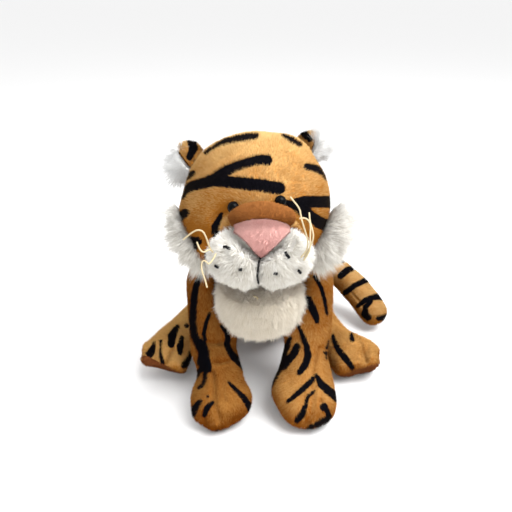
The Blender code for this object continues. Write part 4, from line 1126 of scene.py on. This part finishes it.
bib = {
    "coat": "cream", "voxel": 0.0022, "ease": 5, "fill": 0.7,
    "fall": 0.6, "inset": 0.0010, "clump": (0.0042, 0.55, 0.7), "source": (0.0, -0.045, 0.090), "push": 0.55,
    "stretch": ((0.0, -0.085, 0.099), (0.97, 1.0, 0.85)),
    "pile": pileOf(2.7, 0.0056, 0.00023, 0.42, 3.0, 2, 31),
}
neckSkin = {
    "zones": [("white", [(222, 262), (298, 262), (298, 306), (222, 306)], 1.0, 0.0)],
    "coat": "gold", "voxel": 0.0035, "ease": 4,
    "hiddenBy": ["head", "torso"], "fall": 0.3,
    "pile": pileOf(1.5, 0.0020, 0.00031, 0.5, 0.0, 1, 37),
}
dress("torso", "torso", torso, ["torso_cover", "torso_stuffing"])
dress("neck", "neck", neckSkin, ["neck_stuffing"])
dress("chest_bib", "torso", bib)

# forelegs
foreleg = {
    **stuffed, "voxel": 0.0035, "ease": 9, "lumps": 0.0010, "lumpSize": 0.022, "wrap": True, "fall": 0.90,
    "seamDepth": 0.0022, "seamReach": 0.0022, "pile": pileOf(2.3, 0.0025, 0.00022, 0.42, 0.0, 1, 41),
}
# painted shadow: the right foreleg, in the head's shadow, gets the darker amber
forelegCoat = {"left": "amber", "right": "russet"}
shoulder = [(0.0262, -0.084, 0.057), (0.0098, 0.0115, 0.0150)]
forelegWork = {
    "right": {
        "dents": [(186, 374, 26, 0.0066), (186, 402, 20, 0.0024), (252, 402, 26, -0.0042),
                  (216, 428, 18, -0.0022)],
        "strokes": [
            [(200.6, 275.5, 1.8), (196.3, 285.8, 2.6), (194.6, 297.9, 3), (193.7, 311.7, 3),
             (193.6, 320, 2.9), (195.2, 336, 3), (201, 344, 5), (204.4, 352.5, 5), (204.2, 361, 6), (206.5, 367.5, 5)],
            [(200.6, 369.9, 2), (197, 376, 2.5)],
            [(205.5, 369.9, 1.6), (205.5, 378.5, 1.3), (203.3, 385, 1.4), (200, 387.8, 1.3)],
            [(207.6, 395.9, .9), (207.9, 396.2, .9)],
            [(200.6, 400.8, 1.8), (196.3, 406.7, 3), (193.6, 414.3, 2)],
            [(212, 402.4, 1.8), (207.1, 407.8, 2.4), (204.4, 414.9, 1.8)],
            [(228.2, 381.8, .9), (235.3, 389.4, 1.8), (242.9, 397, 2.4), (247.2, 403.5, 2.4),
             (249.9, 411, 1.8)],
            [(221.2, 325.4, 1.3), (226.6, 331.9, 2), (227.7, 338.4, 2.4), (226.6, 343.9, 2.6),
             (229.3, 351.4, 2.8), (234.2, 357.9, 3), (240.7, 364.4, 2.9), (245, 371, 2.4),
             (247.8, 377.5, 1.5)],
            [(209.2, 313.4, 1.2), (205.8, 323.7, 1.6), (204, 334, 1.6), (205.8, 339.2, 1.0)],
            [(216.5, 429.6, 1.2), (221.5, 429.4, 1.2)],
        ],
        "seams": [
            [(212.5, 373.1), (214.7, 385), (214.7, 395.9), (215.8, 406.7), (219, 417.6),
             (221.7, 428.4)],
            [(202.8, 416.5), (204.4, 428.4)], [(234.2, 417.6), (233.1, 428.4)],
            [(206.6, 342.2), (215, 343.4), (224.4, 342.2)],
            [(215.8, 362.8), (222, 362.6), (228.8, 360.7)],
        ],
    },
    "left": {
        "dents": [(269, 390, 26, -0.0046), (334, 352, 20, 0.0020), (318, 428, 14, -0.0010)],
        "strokes": [
            [(315.1, 276.4, 1.6), (321.1, 287.6, 1.6), (324.6, 301.3, 1.5), (326.3, 313.4, .9)],
            [(308.2, 298.7, 3.4), (311.7, 306.5, 3.8), (316, 316.8, 2.8), (316.8, 321.1, 1.8)],
            [(298.3, 325, 1.2), (303, 335, 2), (306.7, 345.8, 2.6), (308, 355.8, 3.2), (305.2, 364.4, 3),
             (299.9, 371.7, 2.6)],
            [(290.6, 337.3, 1.5), (288.4, 344.9, 2.2), (284.1, 353.6, 3.5), (279.7, 363.4, 5.5),
             (275.4, 373.1, 4.8), (272.1, 382.9, 2.8), (270.5, 389.4, 1.2)],
            [(297.6, 346, 3.2), (294.9, 352.5, 3.2), (289.5, 359, 3.2), (284.1, 365.5, 4)],
            [(315.5, 374.7, 1.2), (309, 382.9, 2.4), (301.4, 390.5, 2.3), (294.9, 395.9, 2),
             (288.4, 400.8, 1.6)],
            [(316.6, 375.3, 1.5), (320.9, 384, 3), (326.4, 389.4, 3.8), (332.9, 394.8, 3.6), (335, 398, 3)],
            [(314.4, 391, 1), (309, 394.8, 1.4), (307.4, 397, 1.6), (305.8, 404.6, 1.8), (302.5, 413.2, 3),
             (297.1, 419.7, 2.6)],
            [(323.6, 406.5, 3.6), (323.6, 407, 3.6)],
            [(326.5, 409.5, 2.0), (328.6, 415.0, 2.0), (325.0, 420.0, 3.4), (321.5, 421.5, 3.8),
             (314.5, 424.2, 1.5), (307.5, 427.0, .9)],
            [(327.4, 340.6, 1.2), (325.8, 347.1, 1.2)], [(324.7, 351.4, 1.2), (326.4, 357.9, 1.2)],
        ],
        "seams": [
            [(319.9, 348.2), (319.3, 356.9), (317.7, 365.5), (316.1, 374.2), (315, 390),
             (313, 408), (308, 424)],
            [(307.5, 398), (303, 418)], [(322, 402), (320, 425)],
        ],
    },
}
for index, (side, sign) in enumerate(sides.items()):
    names = ["foreleg_%s_cover" % side, "foreleg_%s_stuffing" % side]
    own = dict(foreleg, coat=forelegCoat[side], seed=11 + index, **forelegWork[side])
    own["lumpsAt"] = [(mirrored(shoulder[0], sign), shoulder[1])]
    own["pile"] = dict(foreleg["pile"], Seed=41 + index)
    dress("foreleg_" + side, "foreleg_" + side, own, names)

# hind legs
hindLeg = {
    **stuffed, "voxel": 0.0033, "ease": 8, "lumps": 0.0010, "lumpSize": 0.022, "wrap": True, "fall": 0.70,
    "seamDepth": 0.0024, "seamReach": 0.0024, "hiddenBy": ["torso"],
    "pile": pileOf(2.3, 0.0026, 0.00022, 0.42, 0.0, 1, 43),
}
hindWork = {
    "right": {
        "dents": [(141, 345, 14, -0.0030), (190, 377, 14, -0.0030)],
        "zones": [("sole", [(138, 353), (149, 357), (161, 363), (171.5, 367.5), (182, 371), (198, 370),
                            (198, 382), (138, 382)], 0.8, 0.0)],
        "strokes": [
            [(177.4, 327.2, 2), (172.2, 335.8, 3.8), (171.3, 344.4, 3)],
            [(181.7, 337.5, 1.6), (179.9, 346.1, 3), (179.9, 353, 1.8)],
            [(186.3, 325.4, 1.8), (186.6, 326, 1.8)],
            [(155, 342.7, .9), (151.5, 351.3, 3.2), (149.8, 354.7, 3)],
            [(161, 340.9, 1.0), (160.7, 353, 1.2), (162.7, 363.3, 1.6)],
            [(193.7, 347.8, 3), (190.3, 356.4, 3.4), (183.4, 365, 2.4)],
        ],
        "seams": [
            [(181.7, 311.7), (169.6, 322), (161, 328.9)],
            [(160, 345), (157, 360)], [(173, 350), (168, 364)],
        ],
    },
    "left": {
        "zones": [("sole", [(333, 374), (345, 373), (357, 368), (367, 366), (376, 363), (384, 360),
                            (384, 384), (333, 384)], 0.8, 0.0)],
        "dents": [(372, 345, 16, -0.0022), (383, 353, 14, -0.0028), (346, 381, 17, -0.0036)],
        "strokes": [
            [(333.2, 336.6, 1.5), (338.4, 349.5, 2.6), (345.3, 358.2, 3), (352.1, 366.8, 2.2)],
            [(351.3, 334.9, 1.2), (352.1, 340.1, 2)],
        ],
        "seams": [
            [(332.3, 316.8), (341.8, 324.6), (359, 332.3)],
            [(360.8, 342), (365.9, 361.6)], [(372.8, 342), (378, 356)],
        ],
    },
}
sole = {
    "coat": "sole", "voxel": 0.0016, "ease": 4, "fall": 0.2,
    "pile": pileOf(2.4, 0.0018, 0.00024, 0.45, 0.0, 1, 47),
}
# painted light: the right hind leg, in the body's shadow, gets the brighter gold
hindCoat = {"left": "amber", "right": "apricot"}
hindToes = [(0.068, -0.0765, 0.0175), (0.0805, -0.0765, 0.0190), (0.0925, -0.0765, 0.0195)]
toeSize = (0.0072, 0.0085, 0.0078)
soleSize = (0.84, 0.62, 0.62)
liftedToe = {"left": None, "right": (-1.0, 0.056, 0.094, 0.0075, 0.030)}
for index, (side, sign) in enumerate(sides.items()):
    names = ["hind_leg_%s_cover" % side, "hind_leg_%s_stuffing" % side]
    under = "hind_sole_" + side
    own = dict(hindLeg, coat=hindCoat[side], seed=21 + index, **hindWork[side])
    own["near"] = (under, 0.0026)
    own["lumpsAt"] = [(mirrored(toe, sign), toeSize) for toe in hindToes]
    own["pile"] = dict(hindLeg["pile"], Seed=43 + index)
    own["raised"] = liftedToe[side]
    low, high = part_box(under)
    heel = ((low.x + high.x) / 2.0, high.y, low.z)
    underfoot = dict(sole, stretch=(heel, soleSize), raised=liftedToe[side])
    dress("hind_leg_" + side, "hind_leg_" + side, own, names + [under])
    dress(under, "hind_leg_" + side, underfoot)

bibStitch = [(255.4, 299.2), (257.2, 301.4), (256.6, 304.0)]
stitchOver("bib_stitch", bibStitch, ["chest_bib"], "bib", "torso", creamThread)

# tail
tail = {
    **stuffed, "coat": "gold", "voxel": 0.0029, "ease": 5, "lumps": 0.0008,
    "lumpSize": 0.018, "seed": 31, "wrap": True, "fall": 0.7,
    "seamDepth": 0.0010, "seamReach": 0.0016,
    "strokes": [
        [(336.6, 261.7, 1.5), (343.5, 260.9, 1.5)],
        [(341, 275.5, 3), (347, 270.3, 3.2), (353.9, 267.7, 2.2)],
        [(346.1, 291.9, 2.4), (353.9, 285.8, 2.4), (365.9, 279.8, 2.6)],
        [(358.2, 305.6, 1.5), (365.9, 299.6, 2.5), (374.5, 297, 2.6), (383.1, 297, 3.2)],
        [(368.5, 316.8, 3), (365.1, 313.4, 3), (365.9, 306.5, 2.2), (371.1, 301.3, 1.5)],
        [(378, 317.7, 2), (386.6, 316, 3.2)],
    ],
    "seams": [[(352.1, 292.7), (359, 301.3), (366, 311)]],
    "inset": 0.0012, "pile": pileOf(2.4, 0.0026, 0.00022, 0.42, 0.0, 1, 53),
}
dress("tail", "tail", tail, ["tail_cover", "tail_stuffing"])

# what stays inside
wadShape = {"voxel": 0.0040, "ease": 6, "inset": 0.0042}
fillings = {
    "stuffing": ("fibreFill", (0.88, 0.87, 0.84), 420.0),
    "pellets": ("pelletBag", (0.75, 0.76, 0.78), 700.0),
    "washer_plastic": ("washerPlastic", (0.80, 0.80, 0.79), 1200.0),
}
fillingFinish = {}
for slot, (name, light, scale) in fillings.items():
    deep = tuple(value * 0.72 for value in light)
    fillingFinish[slot] = mottled(name, light, deep, (scale, 4.0, 0.65), (0.5, 0.0008), {"Roughness": 0.9})
for part in record["subparts"]:
    slot, node = part["material_slot"], frame["nodes"][part["node"]]
    if slot == "stuffing":
        wad = skinOver(part["node"] + "_wad", [part["node"]], wadShape["voxel"], wadShape["ease"])
        drawIn(wad.data, wadShape["inset"])
        wad.data.materials.append(fillingFinish[slot])
        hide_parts(part["node"])
        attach(wad, node["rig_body"])
    elif slot in fillingFinish:
        node.data.materials.clear()
        node.data.materials.append(fillingFinish[slot])
print("filling made")

# studio
studio = {
    "floorSize": 60.0, "floorTone": 0.86, "skyBack": 1.20, "skyFront": 0.80, "aim": (0.0, -0.05, 0.1),
    "key": 17.0, "keyPlace": (0.40, -0.30, 1.00), "keySize": 0.7,
    "fill": 2.2, "fillPlace": (0.06, -1.05, 0.30), "fillSize": 0.6,
}


def makeStudio(settings):
    bm = bmesh.new()
    half = settings["floorSize"] / 2.0
    corners = [(-half, -half), (half, -half), (half, half), (-half, half)]
    bm.faces.new([bm.verts.new((x, y, 0.0)) for x, y in corners])
    mesh = bpy.data.meshes.new("floor")
    bm.to_mesh(mesh)
    bm.free()
    tone = settings["floorTone"]
    look = {"Base Color": colour(tone, tone, tone), "Roughness": 0.95, "Specular IOR Level": 0.1}
    mesh.materials.append(newMaterial("palePaper", look)[0])
    objectFrom("floor", mesh)
    world = bpy.data.worlds.new("softSky")
    bpy.context.scene.world = world
    world.use_nodes = True
    tree = world.node_tree
    way = addNode(tree, "ShaderNodeTexCoord")
    back = addNode(tree, "ShaderNodeSeparateXYZ", {}, {0: way}, 1)
    strength = smoothStep(tree, back, -0.75, 0.35, settings["skyFront"], settings["skyBack"])
    tree.nodes["Background"].inputs["Color"].default_value = colour(1.0, 1.0, 1.0)
    plug(tree, tree.nodes["Background"].inputs["Strength"], strength)
    for word in ("key", "fill"):
        lamp = bpy.data.lights.new(word + "Light", "AREA")
        lamp.size = settings[word + "Size"]
        lamp.energy = settings[word]
        holder = objectFrom(word + "Light", lamp)
        place = Vector(settings[word + "Place"])
        turn = (Vector(settings["aim"]) - place).to_track_quat("-Z", "Y").to_matrix().to_4x4()
        holder.matrix_world = Matrix.Translation(place) @ turn
    bpy.context.scene.view_settings.view_transform = "Standard"


makeStudio(studio)
print("studio lit")
